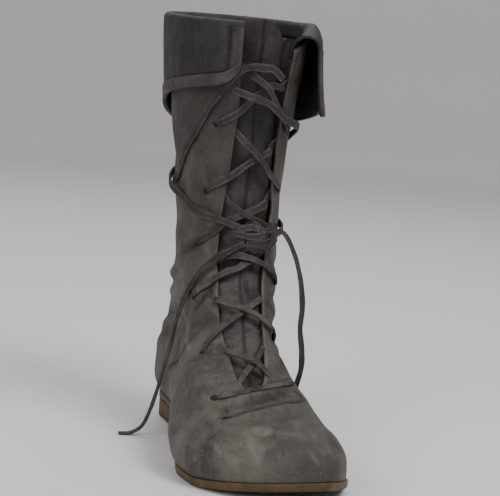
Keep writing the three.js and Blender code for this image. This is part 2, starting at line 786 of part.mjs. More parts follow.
// The lace's two ends, each wound once round the leg over the lacing and the backstay to the knot.
// Places are in degrees round the leg from the front and in sections; lift is off the upper.
const overLeather = laceLift + gap;
const overLacing = laceLift + laceThickness + 3 * gap;
const overStay = laceLift + backstayThickness + 5 * gap;
const overWrap = overLacing + laceThickness + 4 * gap;
const wrapFromInner = [
  { turn: 16, section: 19.05, lift: overLacing },
  { turn: 2, section: 19.05, lift: overLacing },
  { turn: -14, section: 19, lift: overLacing },
  { turn: -30, section: 18.45, lift: overLacing },
  { turn: -48, section: 17.7, lift: overLeather },
  { turn: -63, section: 17.1, lift: overLeather },
  { turn: -83, section: 16.4, lift: overLeather },
  { turn: -105, section: 15.98, lift: overLeather },
  { turn: -130, section: 15.85, lift: overLeather },
  { turn: -155, section: 15.8, lift: overStay },
  { turn: -180, section: 15.75, lift: overStay },
  { turn: -205, section: 15.65, lift: overStay },
  { turn: -235, section: 15.4, lift: overLeather },
  { turn: -265, section: 15.1, lift: overLeather },
  { turn: -290, section: 14.85, lift: overLeather },
  { turn: -308, section: 14.65, lift: overLacing },
  { turn: -324, section: 14.5, lift: overLacing },
  { turn: -342, section: 14.38, lift: overLacing },
];
const wrapFromOuter = [
  { turn: -20, section: 18.5, lift: overWrap },
  { turn: 0, section: 18.3, lift: overWrap },
  { turn: 20, section: 18.1, lift: overWrap },
  { turn: 48, section: 17.7, lift: overWrap },
  { turn: 75, section: 17.3, lift: overLeather },
  { turn: 105, section: 16.95, lift: overLeather },
  { turn: 135, section: 16.7, lift: overLeather },
  { turn: 158, section: 16.58, lift: overStay },
  { turn: 180, section: 16.5, lift: overStay },
  { turn: 202, section: 16.35, lift: overStay },
  { turn: 225, section: 16.15, lift: overWrap },
  { turn: 245, section: 15.98, lift: overWrap },
  { turn: 262, section: 15.82, lift: overWrap },
  { turn: 283, section: 15.54, lift: overLeather },
  { turn: 300, section: 15.26, lift: overLeather },
  { turn: 316, section: 15.1, lift: overLacing },
  { turn: 330, section: 14.98, lift: overLacing },
  { turn: 342, section: 14.82, lift: overLacing },
  { turn: 354, section: 14.64, lift: overLacing },
];
const makeWrap = (route) =>
  thong(
    route.map(({ turn, section, lift }) => onUpper({ turn: degrees(turn), section, lift })),
    wornSection,
  );

// Knot over the front, a lump as wide as three thongs
const knotTurn = degrees(6);
const knotSection = 14.35;
const knotSize = { across: 11, through: 5.5, up: 9 };
function makeKnot() {
  const knot = new THREE.IcosahedronGeometry(1, 2);
  knot.scale(knotSize.across, knotSize.through, knotSize.up);
  const lift = knotSize.through + gap;
  knot.translate(...offUpper(knotTurn, knotSection, lift).toArray());
  return toSolid(knot);
}

// Free ends below the knot, each a row of chosen points with the way the thong's face looks there
const innerEnd = [
  { x: 12.4, y: -83, z: 165.8, faceX: 0, faceY: -0.4, faceZ: 1 },
  { x: 18, y: -89, z: 168, faceX: 0, faceY: -0.3, faceZ: 1 },
  { x: 22, y: -97, z: 165, faceX: 0.4, faceY: -0.6, faceZ: 0.7 },
  { x: 27, y: -104, z: 152, faceX: 0.8, faceY: -0.6, faceZ: 0.3 },
  { x: 31, y: -105, z: 140, faceX: 0.9, faceY: -0.4, faceZ: 0.1 },
  { x: 34, y: -105, z: 128, faceX: 0.9, faceY: -0.4, faceZ: 0.1 },
  { x: 36, y: -105, z: 112, faceX: 1, faceY: -0.3, faceZ: 0 },
  { x: 36, y: -104, z: 96, faceX: 1, faceY: -0.2, faceZ: 0 },
  { x: 39, y: -103, z: 80, faceX: 1, faceY: -0.1, faceZ: 0 },
  { x: 41, y: -100, z: 66, faceX: 1, faceY: 0, faceZ: 0 },
  { x: 40, y: -97, z: 54, faceX: 1, faceY: 0, faceZ: 0 },
  { x: 38, y: -94, z: 40, faceX: 1, faceY: 0, faceZ: 0 },
  { x: 37, y: -92, z: 28, faceX: 1, faceY: 0, faceZ: 0 },
];
const outerEnd = [
  { x: -4.4, y: -80.2, z: 156.5, faceX: -0.1, faceY: -1, faceZ: 0 },
  { x: -15, y: -79, z: 150.5, faceX: -0.3, faceY: -0.9, faceZ: 0 },
  { x: -26, y: -75, z: 143, faceX: -0.5, faceY: -0.8, faceZ: 0 },
  { x: -34, y: -70, z: 134, faceX: -0.7, faceY: -0.6, faceZ: 0 },
  { x: -39, y: -65, z: 121, faceX: -0.9, faceY: -0.4, faceZ: 0 },
  { x: -43, y: -60, z: 108, faceX: -1, faceY: -0.2, faceZ: 0 },
  { x: -46, y: -57, z: 93, faceX: -1, faceY: 0, faceZ: 0 },
  { x: -48, y: -54, z: 76, faceX: -1, faceY: 0, faceZ: 0 },
  { x: -51, y: -51, z: 58, faceX: -1, faceY: 0, faceZ: 0 },
  { x: -54, y: -48, z: 40, faceX: -1, faceY: 0, faceZ: 0.1 },
  { x: -58, y: -45, z: 22, faceX: -1, faceY: 0, faceZ: 0.3 },
  { x: -63, y: -42, z: 8, faceX: -0.8, faceY: 0, faceZ: 0.6 },
  { x: -71, y: -39, z: 2, faceX: -0.2, faceY: 0, faceZ: 1 },
  { x: -80, y: -37, z: 1.4, faceX: 0, faceY: 0, faceZ: 1 },
];
const makeEnd = (route) =>
  thong(
    route.map((place) => ({
      point: new THREE.Vector3(place.x, place.y, place.z),
      face: new THREE.Vector3(place.faceX, place.faceY, place.faceZ),
    })),
    wornSection,
  );

// Materials, one for each finish
const finish = (color, roughness) =>
  new THREE.MeshStandardMaterial({ color, roughness, metalness: 0 });
const upperLeather = finish(0x3f3c38, 0.62);
const cuffLeather = finish(0x343130, 0.66);
const tongueLeather = finish(0x3a3634, 0.7);
const soleLeather = finish(0x7a5a3c, 0.6);
const insoleLeather = finish(0x6b5138, 0.75);
const laceLeather = finish(0x4a4743, 0.7);

const boot = new THREE.Group();
function add(name, made, material) {
  const geometry = made.isBufferGeometry ? made : toGeometry(made);
  const mesh = new THREE.Mesh(geometry, material);
  mesh.name = name;
  boot.add(mesh);
}

add("outsole", makeOutsole(), soleLeather);
add("heel_stack", makeHeelStack(), soleLeather);
add("heel_top_piece", makeTopPiece(), soleLeather);
add("insole", makeInsole(), insoleLeather);
add("upper", makeUpper(), upperLeather);
add("backstay", makeBackstay(), upperLeather);
add("cuff", makeCuff(), cuffLeather);
add("tongue", makeTongue(), tongueLeather);
add("lacing", makeLacing(), laceLeather);
add("lace_bar", makeBar(...eyeletPlaces.at(-1), lowerBarBow), laceLeather);
add("lace_wrap_inner", makeWrap(wrapFromInner), laceLeather);
add("lace_wrap_outer", makeWrap(wrapFromOuter), laceLeather);
add("lace_knot", makeKnot(), laceLeather);
add("lace_end_inner", makeEnd(innerEnd), laceLeather);
add("lace_end_outer", makeEnd(outerEnd), laceLeather);

export default boot;
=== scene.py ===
import math

import bmesh
import bpy
import numpy as np
from mathutils import Matrix, Vector


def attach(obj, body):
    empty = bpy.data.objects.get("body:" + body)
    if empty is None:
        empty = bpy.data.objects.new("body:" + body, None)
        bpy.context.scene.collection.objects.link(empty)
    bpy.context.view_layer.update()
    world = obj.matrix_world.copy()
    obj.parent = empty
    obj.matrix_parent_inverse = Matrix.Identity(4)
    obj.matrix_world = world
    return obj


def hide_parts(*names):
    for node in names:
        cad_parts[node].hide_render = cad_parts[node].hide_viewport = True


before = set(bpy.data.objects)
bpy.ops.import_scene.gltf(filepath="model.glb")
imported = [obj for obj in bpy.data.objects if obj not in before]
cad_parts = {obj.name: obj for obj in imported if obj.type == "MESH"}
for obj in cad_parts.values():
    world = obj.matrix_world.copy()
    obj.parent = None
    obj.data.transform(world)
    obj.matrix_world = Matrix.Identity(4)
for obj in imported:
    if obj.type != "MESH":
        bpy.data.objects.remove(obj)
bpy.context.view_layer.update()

# Camera: a standing person's look at the boot from in front and a little to its outer side, with
# a long lens, rolled a few degrees.
camera_azimuth = math.radians(-20.6)
camera_rise = math.radians(7.4)
camera_roll = math.radians(4.15)
camera_distance = 1.2235
looked_at = Vector((0, -0.06, 0.15))
picture_width = 500
focal_pixels = 1609.2
camera_back = Vector(
    (
        math.sin(camera_azimuth) * math.cos(camera_rise),
        -math.cos(camera_azimuth) * math.cos(camera_rise),
        math.sin(camera_rise),
    )
)
camera_right = Vector((math.cos(camera_azimuth), math.sin(camera_azimuth), 0))
camera_up = camera_back.cross(camera_right)
camera_axes = Matrix((camera_right, camera_up, camera_back)).transposed()
camera_data = bpy.data.cameras.new("camera")
camera_data.sensor_width = 36
camera_data.lens = focal_pixels / picture_width * camera_data.sensor_width
camera_data.shift_x = 0.02
camera_data.clip_end = 20
camera = bpy.data.objects.new("camera", camera_data)
camera.matrix_world = (
    Matrix.Translation(looked_at + camera_back * camera_distance)
    @ camera_axes.to_4x4()
    @ Matrix.Rotation(camera_roll, 4, "Z")
)
bpy.context.scene.collection.objects.link(camera)
bpy.context.scene.camera = camera

# Lace wraps: the two lengths of one flat leather thong that leave the lacing under the cuff, go once
# round the leg and meet at the knot. They lie on the upper, so the upper's own form comes first.
sole_length = 0.292
ball_width = 0.107
sole_thickness = 0.006
heel_lift = 0.0155
toe_spring = 0.014
heel_middle = 0.045
sole_margin = 0.0015
instep_rise = 0.110
leg_rise = 0.194
shaft_width = 0.077
throat_width = 0.034
collar_dip = 0.014
leather = 0.0022
heel_round = 0.031
toe_round = 0.066
toe_point = 1.8
toe_fullness = 0.625
heel_reach = 0.12
toe_reach = 0.2
margin_fade = 0.012
vault_power = 2.3
leg_power = 2.15
leg_swing = 0.0003
fullness_height = 0.025
fullness_power = 6
follow_sections = 9
follow_power = 1.5
ridge_rise = 4
dip_sections = 3.5

# along, heel, toe
sole_line = [
    (0, 1, 0),
    (0.12, 0.95, 0),
    (0.3, 0.74, 0),
    (0.42, 0.44, 0),
    (0.54, 0.12, 0),
    (0.62, 0, 0),
    (0.74, 0, 0),
    (0.82, 0, 0.16),
    (0.91, 0, 0.5),
    (1, 0, 1),
]
# along, lateral, medial, swing
sole_outline = [
    (0, 0.29, 0.29, 0),
    (0.1, 0.29, 0.29, 0),
    (0.22, 0.3, 0.28, -0.005),
    (0.36, 0.33, 0.255, -0.03),
    (0.48, 0.42, 0.298, -0.06),
    (0.6, 0.51, 0.417, -0.09),
    (0.68, 0.55, 0.474, -0.1),
    (0.76, 0.545, 0.473, -0.09),
    (0.84, 0.505, 0.462, -0.06),
    (0.92, 0.43, 0.413, -0.02),
    (1, 0.35, 0.36, 0.03),
]
# front, front rise, back, back rise, half width, leg
upper_sections = [
    (0.995, 0, 0.005, 0, 0.42, 0),
    (0.994, 0.065, 0.003, 0.065, 0.42, 0),
    (0.983, 0.133, 0.006, 0.147, 0.42, 0),
    (0.959, 0.205, 0.011, 0.22, 0.42, 0),
    (0.918, 0.285, 0.016, 0.285, 0.42, 0),
    (0.863, 0.36, 0.022, 0.35, 0.42, 0),
    (0.808, 0.41, 0.028, 0.41, 0.42, 0),
    (0.747, 0.49, 0.036, 0.475, 0.43, 0),
    (0.678, 0.585, 0.045, 0.54, 0.44, 0.04),
    (0.61, 0.7, 0.055, 0.605, 0.45, 0.14),
    (0.548, 0.81, 0.067, 0.68, 0.455, 0.32),
    (0.5, 0.905, 0.075, 0.755, 0.46, 0.55),
    (0.462, 1, 0.08, 0.845, 0.465, 0.78),
    (0.432, 1.07, 0.082, 0.97, 0.47, 0.94),
    (0.411, 1.155, 0.08, 1.085, 0.48, 1),
    (0.397, 1.255, 0.077, 1.195, 0.495, 1),
    (0.392, 1.38, 0.069, 1.335, 0.515, 1),
    (0.394, 1.525, 0.053, 1.49, 0.549, 1),
    (0.406, 1.68, 0.036, 1.65, 0.596, 1),
    (0.425, 1.845, 0.021, 1.82, 0.645, 1),
    (0.445, 2, 0.008, 1.98, 0.685, 1),
]
# along, lateral, medial
fullness = [
    (0, 0, 0),
    (0.06, 0.05, 0.02),
    (0.16, 0.1, 0.03),
    (0.3, 0.1, 0.02),
    (0.45, 0.09, 0.02),
    (0.6, 0.085, 0.02),
    (0.72, 0.075, 0.02),
    (0.84, 0.045, 0.01),
    (0.93, 0.01, 0),
    (1, 0, 0),
]
# section, slack
ankle_roll = [(0, 0), (9.5, 0), (11, 0.05), (12.2, 0.085), (13.2, 0.02), (14, 0), (20, 0)]
# along, lean
crest_line = [
    (0, 0), (0.4, 0), (0.52, -0.02), (0.62, -0.04), (0.72, -0.045), (0.82, -0.02), (0.92, 0), (1, 0),
]


def curve(rows, column):
    """A smooth curve through one column of a table's rows that never swings past them."""
    xs = np.array([row[0] for row in rows], float)
    ys = np.array([row[column] for row in rows], float)
    rates = np.diff(ys) / np.diff(xs)
    product = rates[:-1] * rates[1:]
    total = np.where(product > 0, rates[:-1] + rates[1:], 1)
    middle = np.where(product > 0, 2 * product / total, 0)
    slopes = np.concatenate([rates[:1], middle, rates[-1:]])

    def at(x):
        x = np.clip(x, xs[0], xs[-1])
        i = np.clip(np.searchsorted(xs, x, side="right") - 1, 0, len(xs) - 2)
        span = xs[i + 1] - xs[i]
        t = (x - xs[i]) / span
        u = 1 - t
        start = ys[i] * (1 + 2 * t) * u * u + slopes[i] * span * t * u * u
        return start + ys[i + 1] * t * t * (3 - 2 * t) - slopes[i + 1] * span * t * t * u

    return at


def eased(t):
    """A soft step from 0 to 1."""
    t = np.clip(t, 0, 1)
    return t * t * (3 - 2 * t)


heel_share, toe_share = curve(sole_line, 1), curve(sole_line, 2)
lateral_share, medial_share, swing_share = [curve(sole_outline, k) for k in (1, 2, 3)]
lateral_full, medial_full = curve(fullness, 1), curve(fullness, 2)
roll_slack = curve(ankle_roll, 1)
crest_lean = curve(crest_line, 1)


def sole_top(along):
    """The height of the sole's upper face at a place along, from the heel's back."""
    share = along / sole_length
    return sole_thickness + heel_lift * heel_share(share) + toe_spring * toe_share(share)


def sole_half(along, side):
    """Half the sole's width at a place along, on its outer side (-1) or inner side (1)."""
    share = np.where(side < 0, lateral_share(along / sole_length), medial_share(along / sole_length))
    heel_end = np.clip(1 - along / heel_round, 0, 1)
    toe_end = np.clip(1 - (sole_length - along) / toe_round, 0, 1)
    return ball_width * share * np.sqrt(1 - heel_end**2) * (1 - toe_end**toe_point) ** toe_fullness


def rise_of(share):
    """A height over the sole: up to 1 a share of the instep's rise, and past 1 one of the leg's too."""
    return share * instep_rise if share <= 1 else instep_rise + (share - 1) * leg_rise


section_rows = []
for number, (front, front_rise, back, back_rise, half, leg) in enumerate(upper_sections):
    front_z = float(sole_top(front * sole_length)) + rise_of(front_rise)
    back_z = float(sole_top(back * sole_length)) + rise_of(back_rise)
    section_rows.append(
        (number, front * sole_length, back * sole_length, front_z, back_z, half * shaft_width, leg)
    )
section_front, section_back, section_front_z, section_back_z, section_half, section_leg = [
    curve(section_rows, k) for k in range(1, 7)
]
top_section = len(upper_sections) - 1
ridge_sections = np.linspace(12, 1, 221)
ridge_line = curve(list(zip(section_front(ridge_sections), section_front_z(ridge_sections))), 1)
instep_front, instep_z = section_rows[12][1], section_rows[12][3]


def ridge(along):
    """The height of the foot's crest at a place along, and of its rise into the leg behind that."""
    into_leg = instep_z + (instep_front - along) * ridge_rise
    return np.where(along < instep_front, into_leg, ridge_line(along))


def form(turn, section):
    """Points on the last's outside. Turn is 0 at the front, and positive on the inner side."""
    turn, section = np.broadcast_arrays(np.asarray(turn, float), np.asarray(section, float))
    front, back = section_front(section), section_back(section)
    front_z, back_z = section_front_z(section), section_back_z(section)
    leg = section_leg(section)
    t = (1 - np.cos(turn)) / 2
    side = np.where(np.sin(turn) < 0, -1, 1)
    along = front + (back - front) * t
    follow = np.clip(1 - section / follow_sections, 0, 1) ** follow_power
    chord = sole_top(front) + (sole_top(back) - sole_top(front)) * t
    z = front_z + (back_z - front_z) * t + follow * (sole_top(along) - chord)
    feather_front = section_rows[0][1]
    toe_zone = np.clip((along - toe_reach) / (feather_front - toe_reach), 0, 1)
    stretched = np.where(
        along < heel_reach,
        (along - back) * heel_reach / (heel_reach - back),
        along + (sole_length - feather_front) * toe_zone**2,
    )
    edge = sole_half(stretched, side)
    inset = np.maximum(edge - sole_margin * np.clip(edge / margin_fade, 0, 1), 0)
    rise = np.maximum(z - sole_top(along), 0)
    vault = np.clip(rise / np.maximum(ridge(along) - sole_top(along), 1e-6), 0, 1)
    full = np.where(side < 0, lateral_full(along / sole_length), medial_full(along / sole_length))
    swell = rise / fullness_height * np.exp(1 - rise / fullness_height)
    foot = inset * (1 - vault**vault_power) ** (1 / vault_power)
    foot = foot + ball_width * full * swell * (1 - vault**fullness_power)
    oval = np.maximum(1 - np.abs(2 * t - 1) ** leg_power, 0) ** (1 / leg_power)
    roll = np.where(side < 0, shaft_width * roll_slack(section) * np.sin(turn) ** 2, 0)
    half = foot + (section_half(section) * oval - foot) * leg + roll
    half = np.where(np.abs(np.sin(turn)) < 1e-9, 0, half)
    lean = ball_width * crest_lean(along / sole_length) * vault**2
    centre = ball_width * swing_share(along / sole_length) + lean
    centre = centre + (leg_swing - centre) * leg
    dip = collar_dip * eased((section - top_section + dip_sections) / dip_sections)
    angle = np.degrees((turn + np.pi) % (2 * np.pi) - np.pi)
    for dip_start, dip_full in ((4, 24), (66, 24)):
        dip = dip * eased((angle - dip_start) / (dip_full - dip_start))
    return np.stack([centre + side * half, heel_middle - along, z - dip], -1)


def form_facing(turn, section):
    """The way that the last's outside looks."""
    step = 0.02
    around = form(turn + step, section) - form(turn - step, section)
    up = form(turn, np.minimum(section + step, top_section)) - form(turn, np.maximum(section - step, 0))
    facing = np.cross(around, up)
    return facing / np.linalg.norm(facing, axis=-1, keepdims=True)


def turn_to(section, x):
    """The turn at which a section reaches a place across the boot, in front of its widest line."""
    section, x = np.broadcast_arrays(np.asarray(section, float), np.asarray(x, float))
    low, high = np.full(section.shape, -np.pi / 2), np.full(section.shape, np.pi / 2)
    for _ in range(30):
        middle = (low + high) / 2
        short = form(middle, section)[..., 0] < x
        low, high = np.where(short, middle, low), np.where(short, high, middle)
    return (low + high) / 2


# Creases that wear has left in the upper: width and depth in metres, then places by turn in degrees
# and section. A trough has soft rims, and a fold, with its depth below 0, stands out.
creases = [
    (0.0040, 0.0026, [(180, 12.1), (205, 12.0), (230, 11.9), (255, 12.2), (275, 12.9)]),
    (0.0035, 0.0016, [(180, 12.1), (160, 12.0), (135, 11.8), (110, 11.9)]),
    (0.0030, 0.0020, [(264, 13.3), (286, 13.7), (300, 13.95), (316, 14.35), (326, 14.6)]),
    (0.0034, 0.0018, [(332, 12.65), (319, 11.95), (306, 11.05), (296, 10.4)]),
    (0.0045, 0.0016, [(205, 8.2), (232, 9.2), (258, 10.3), (285, 11.0)]),
    (0.0050, 0.0014, [(200, 6.6), (230, 7.4), (255, 8.5), (270, 9.4)]),
    (0.0016, 0.0013, [(306.5, 9.75), (296.5, 9.1), (282, 8.05), (252, 5.0), (238, 2.1), (230, 0.7)]),
    (0.0040, 0.0014, [(292, 9.6), (304, 9.9), (318, 10.4), (328, 10.6)]),
    (0.0030, 0.0013, [(300, 8.0), (312, 8.4), (322, 9.0)]),
    (0.0026, 0.0012, [(318, 12.2), (325, 11.4), (329, 10.6)]),
    (0.0035, 0.0014, [(20, 11.4), (34, 11.2), (52, 11.6), (75, 12.2)]),
    (0.0035, 0.0014, [(24, 9.6), (40, 9.4), (58, 10.0), (80, 11.0)]),
    (0.0030, 0.0014, [(16, 8.2), (34, 8.2), (52, 8.8), (70, 9.6)]),
    (0.0045, 0.0014, [(100, 12.0), (80, 12.6), (58, 13.2), (40, 13.6)]),
    (0.0030, 0.0014, [(326, 6.6), (343, 7.22), (360, 7.5), (374, 7.58), (386, 7.52), (399, 7.4)]),
    (0.0030, -0.0016, [(322, 7.1), (343, 7.6), (352, 7.75)]),
    (0.0024, 0.0013, [(340, 6.7), (356, 7.02), (373, 7.22), (384, 7.2)]),
    (0.0040, -0.0014, [(330, 6.0), (350, 6.75), (368, 7.0), (386, 6.95)]),
    (0.0016, 0.0015, [(317.5, 4.7), (323, 4.95), (339, 6.0), (356, 6.5), (373, 6.65), (397, 6.3)]),
    (0.0060, 0.0014, [(292, 4.2), (318, 4.3), (345, 5.4), (375, 5.9), (400, 5.6)]),
    (0.0060, 0.0012, [(285, 3.2), (310, 3.4), (335, 4.1)]),
    (0.0070, 0.0016, [(330, 3.0), (350, 3.5), (372, 3.6), (395, 3.1)]),
    (0.0050, 0.0012, [(340, 4.6), (360, 4.7), (382, 4.8)]),
    (0.0018, 0.0012, [(332.5, 6.35), (327.5, 5.6), (321, 4.9)]),
    (0.0018, 0.0012, [(388, 7.2), (394, 6.8), (402, 6.2)]),
    (0.0042, 0.0022, [(336, 6.3), (350, 6.75), (364, 6.98), (380, 6.98)]),
    (0.0012, 0.0012, [(350, 7.25), (352, 6.95), (355, 6.7)]),
    (0.0012, 0.0012, [(2, 7.4), (4, 7.1), (3, 6.8)]),
    (0.0012, 0.0010, [(12, 7.4), (15, 7.15), (14, 6.9)]),
    (0.0060, 0.0014, [(232, 17.6), (245, 16.8), (262, 16.2), (285, 15.9)]),
    (0.0070, 0.0014, [(250, 15.0), (275, 14.6), (300, 14.6)]),
    (0.0060, 0.0012, [(300, 17.4), (308, 16.4), (312, 15.2)]),
    (0.0025, 0.0012, [(338, 16.6), (336, 15.9), (331, 15.1)]),
    (0.0050, 0.0012, [(140, 15.6), (110, 15.1), (80, 14.9), (60, 15.2)]),
    (0.0060, 0.0012, [(150, 10.0), (120, 10.4), (95, 10.2), (70, 9.2)]),
    (0.0060, 0.0012, [(140, 7.4), (115, 8.2), (90, 8.4)]),
]


def smooth_line(places, count):
    """Points along a smooth line through the places, with the same number between each two."""
    places = np.asarray(places, float)
    before = np.vstack([2 * places[0] - places[1], places, 2 * places[-1] - places[-2]])
    spans = len(places) - 1
    t = np.linspace(0, spans, spans * count + 1)
    i = np.minimum(t.astype(int), spans - 1)
    f = (t - i)[:, None]
    a, b, c, d = before[i], before[i + 1], before[i + 2], before[i + 3]
    return 0.5 * (
        2 * b + (c - a) * f + (2 * a - 5 * b + 4 * c - d) * f**2 + (3 * b - a - 3 * c + d) * f**3
    )


rim_share, rim_place, rim_width = 0.45, 1.9, 0.9
sharp_slope = 0.7
# slow waves of the whole upper: height, then two waves by x, y, z in metres and by phase
leather_waves = [
    (0.0005, (95, 0, 61, 1.1), (0, 57, -83, 0.4)),
    (0.0003, (0, 120, 210, 2), (160, -70, 0, 0)),
]
crease_lines = []
for crease_width, crease_depth, crease_places in creases:
    around = np.degrees(np.unwrap(np.radians([place[0] for place in crease_places])))
    drawn = smooth_line(np.column_stack([around, [place[1] for place in crease_places]]), 10)
    crease_lines.append((crease_width, crease_depth, form(np.radians(drawn[:, 0]), drawn[:, 1])))


def close_to(points, line, reach):
    """Which points lie within reach of a line; for those, how far off they are and which place of the
    line is nearest."""
    near = np.all((points > line.min(0) - reach) & (points < line.max(0) + reach), axis=1)
    gaps = np.linalg.norm(points[near, None] - line[None], axis=2)
    return near, gaps.min(1), gaps.argmin(1)


def wear_relief(points):
    """How far worn leather stands off the last at these points, and how much painted shade it gets in a
    crease.
    """
    flat = points.reshape(-1, 3)
    stand = np.zeros(len(flat))
    for height, first, second in leather_waves:
        stand += height * np.sin(flat @ first[:3] + first[3]) * np.sin(flat @ second[:3] + second[3])
    stand *= np.clip((flat[:, 2] - sole_top(heel_middle - flat[:, 1])) / 0.02, 0, 1)
    # painted shade: steep troughs are darkened in the finish
    painted_shade_and_darkening = np.zeros(len(flat))
    for width, depth, line in crease_lines:
        near, gap, nearest = close_to(flat, line, 4 * width)
        fade = np.sin(np.pi * np.clip(nearest / (len(line) - 1), 0.02, 0.98)) ** 0.6
        trough = np.exp(-((gap / width) ** 2)) * fade
        rim = np.exp(-(((gap - rim_place * width) / (rim_width * width)) ** 2)) * fade
        stand[near] += depth * (rim_share * rim - trough)
        sharpness = min(max(depth, 0) / width / sharp_slope, 1)
        painted_shade_and_darkening[near] = np.maximum(painted_shade_and_darkening[near], trough * sharpness)
    return stand.reshape(points.shape[:-1]), painted_shade_and_darkening.reshape(points.shape[:-1])


def on_leather(turn, section, lift=0.0):
    """Points on the worn upper, raised by a lift."""
    points = form(turn, section)
    stand, _ = wear_relief(points)
    return points + form_facing(turn, section) * (stand + lift)[..., None]


def add_piece(name, points, faces, replaced, material):
    """A smooth mesh that rides with the boot and stands for its CAD nodes."""
    mesh = bpy.data.meshes.new(name)
    mesh.from_pydata(np.asarray(points, float).reshape(-1, 3).tolist(), [], [list(f) for f in faces])
    mesh.polygons.foreach_set("use_smooth", [True] * len(mesh.polygons))
    mesh.update()
    piece = bpy.data.objects.new(name, mesh)
    bpy.context.scene.collection.objects.link(piece)
    mesh.materials.append(material)
    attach(piece, "root")
    if replaced:
        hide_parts(*replaced)
    return piece


streak_stretch = (1, 1, 0.35)


def leather_finish(name, dark, light, worn, roughness, grain, patch_size):
    """Leather with blotches, streaks, pores, rubbed places and painted shade in creases and wrinkles, by
    place on the boot.
    """
    material = bpy.data.materials.new(name)
    material.use_nodes = True
    nodes, links = material.node_tree.nodes, material.node_tree.links
    shader = nodes["Principled BSDF"]
    shader.inputs["Specular IOR Level"].default_value = 0.4
    place = nodes.new("ShaderNodeTexCoord").outputs["Object"]

    def noise(scale, detail, rough=0.55, stretch=(1, 1, 1)):
        node = nodes.new("ShaderNodeTexNoise")
        node.inputs["Scale"].default_value = scale
        node.inputs["Detail"].default_value = detail
        node.inputs["Roughness"].default_value = rough
        spread = nodes.new("ShaderNodeMapping")
        spread.inputs["Scale"].default_value = stretch
        links.new(place, spread.inputs["Vector"])
        links.new(spread.outputs["Vector"], node.inputs["Vector"])
        return node.outputs["Fac"]

    def between(value, low, high, to_low=0.0, to_high=1.0):
        node = nodes.new("ShaderNodeMapRange")
        node.interpolation_type = "SMOOTHSTEP"
        ends = {"From Min": low, "From Max": high, "To Min": to_low, "To Max": to_high}
        for socket, number in ends.items():
            node.inputs[socket].default_value = number
        links.new(value, node.inputs["Value"])
        return node.outputs["Result"]

    def blended(amount, first, second):
        node = nodes.new("ShaderNodeMix")
        node.data_type = "RGBA"
        for socket, value in ((node.inputs[0], amount), (node.inputs[6], first), (node.inputs[7], second)):
            if isinstance(value, tuple):
                socket.default_value = (*value, 1)
            else:
                links.new(value, socket)
        return node.outputs[2]

    def times(first, second):
        node = nodes.new("ShaderNodeMath")
        node.operation = "MULTIPLY"
        for socket, value in zip(node.inputs, (first, second)):
            if isinstance(value, float):
                socket.default_value = value
            else:
                links.new(value, socket)
        return node.outputs[0]

    def painted(attribute):
        node = nodes.new("ShaderNodeAttribute")
        node.attribute_name = attribute
        return node.outputs["Fac"]

    wrinkles = nodes.new("ShaderNodeTexNoise")
    wrinkles.noise_type = "RIDGED_MULTIFRACTAL"
    wrinkles.inputs["Scale"].default_value = 38
    wrinkles.inputs["Detail"].default_value = 4
    wrinkles.inputs["Distortion"].default_value = 0.6
    links.new(place, wrinkles.inputs["Vector"])
    # a darker tone, for fine dark flecks and for painted shade in wrinkles, creases and grooves
    fleck_and_shade_dark = tuple(0.3 * channel for channel in dark)
    colour = blended(between(noise(1 / patch_size, 3), 0.38, 0.66), dark, light)
    streaks = between(noise(3 / patch_size, 5, 0.7, streak_stretch), 0.46, 0.72, 0, 0.4)
    colour = blended(streaks, colour, worn)
    rubbed = times(painted("worn"), between(noise(1.6 / patch_size, 5, 0.66), 0.34, 0.66))
    colour = blended(rubbed, colour, worn)
    stains = between(noise(0.8 / patch_size, 6, 0.62), 0.48, 0.68, 0, 0.55)
    colour = blended(stains, colour, dark)
    colour = blended(between(noise(150, 6, 0.75, streak_stretch), 0.54, 0.68, 0, 0.6), colour, fleck_and_shade_dark)
    # painted shade in the wrinkles
    colour = blended(between(wrinkles.outputs["Fac"], 0.8, 1.3, 0, 0.5), colour, fleck_and_shade_dark)
    colour = blended(between(noise(210, 5, 0.75), 0.56, 0.7, 0, 0.5), colour, worn)
    # painted shade read from the painted attribute: creases, grooves and recesses, with some plain
    # darkening
    colour = blended(times(painted("painted_shade_and_darkening"), 0.8), colour, fleck_and_shade_dark)
    links.new(colour, shader.inputs["Base Color"])
    links.new(
        between(noise(3 / patch_size, 3), 0.3, 0.7, roughness - 0.08, roughness + 0.1),
        shader.inputs["Roughness"],
    )

    def bumped(height, strength, distance, under=None, sinks=False):
        node = nodes.new("ShaderNodeBump")
        node.inputs["Strength"].default_value = strength
        node.inputs["Distance"].default_value = distance
        node.invert = sinks
        links.new(height, node.inputs["Height"])
        if under:
            links.new(under, node.inputs["Normal"])
        return node.outputs["Normal"]

    pores = nodes.new("ShaderNodeTexVoronoi")
    pores.feature = "SMOOTH_F1"
    pores.inputs["Scale"].default_value = 620
    links.new(place, pores.inputs["Vector"])
    pitted = bumped(pores.outputs["Distance"], grain, 0.0006)
    rough_skin = bumped(noise(190, 7, 0.68), 0.85, 0.0012, pitted)
    wrinkled = bumped(wrinkles.outputs["Fac"], 0.7, 0.002, rough_skin, True)
    links.new(wrinkled, shader.inputs["Normal"])
    return material


def paint_wear_and_shade(piece, worn, painted_shade_and_darkening):
    """Writes how rubbed and how darkened, mostly by painted shade, each point is; the finish reads both.
    One number holds for all.
    """
    for attribute, values in (("worn", worn), ("painted_shade_and_darkening", painted_shade_and_darkening)):
        if np.ndim(values) == 0:
            values = np.full(len(piece.data.vertices), values)
        layer = piece.data.attributes.new(attribute, "FLOAT", "POINT")
        layer.data.foreach_set("value", np.asarray(values, np.float32).ravel())


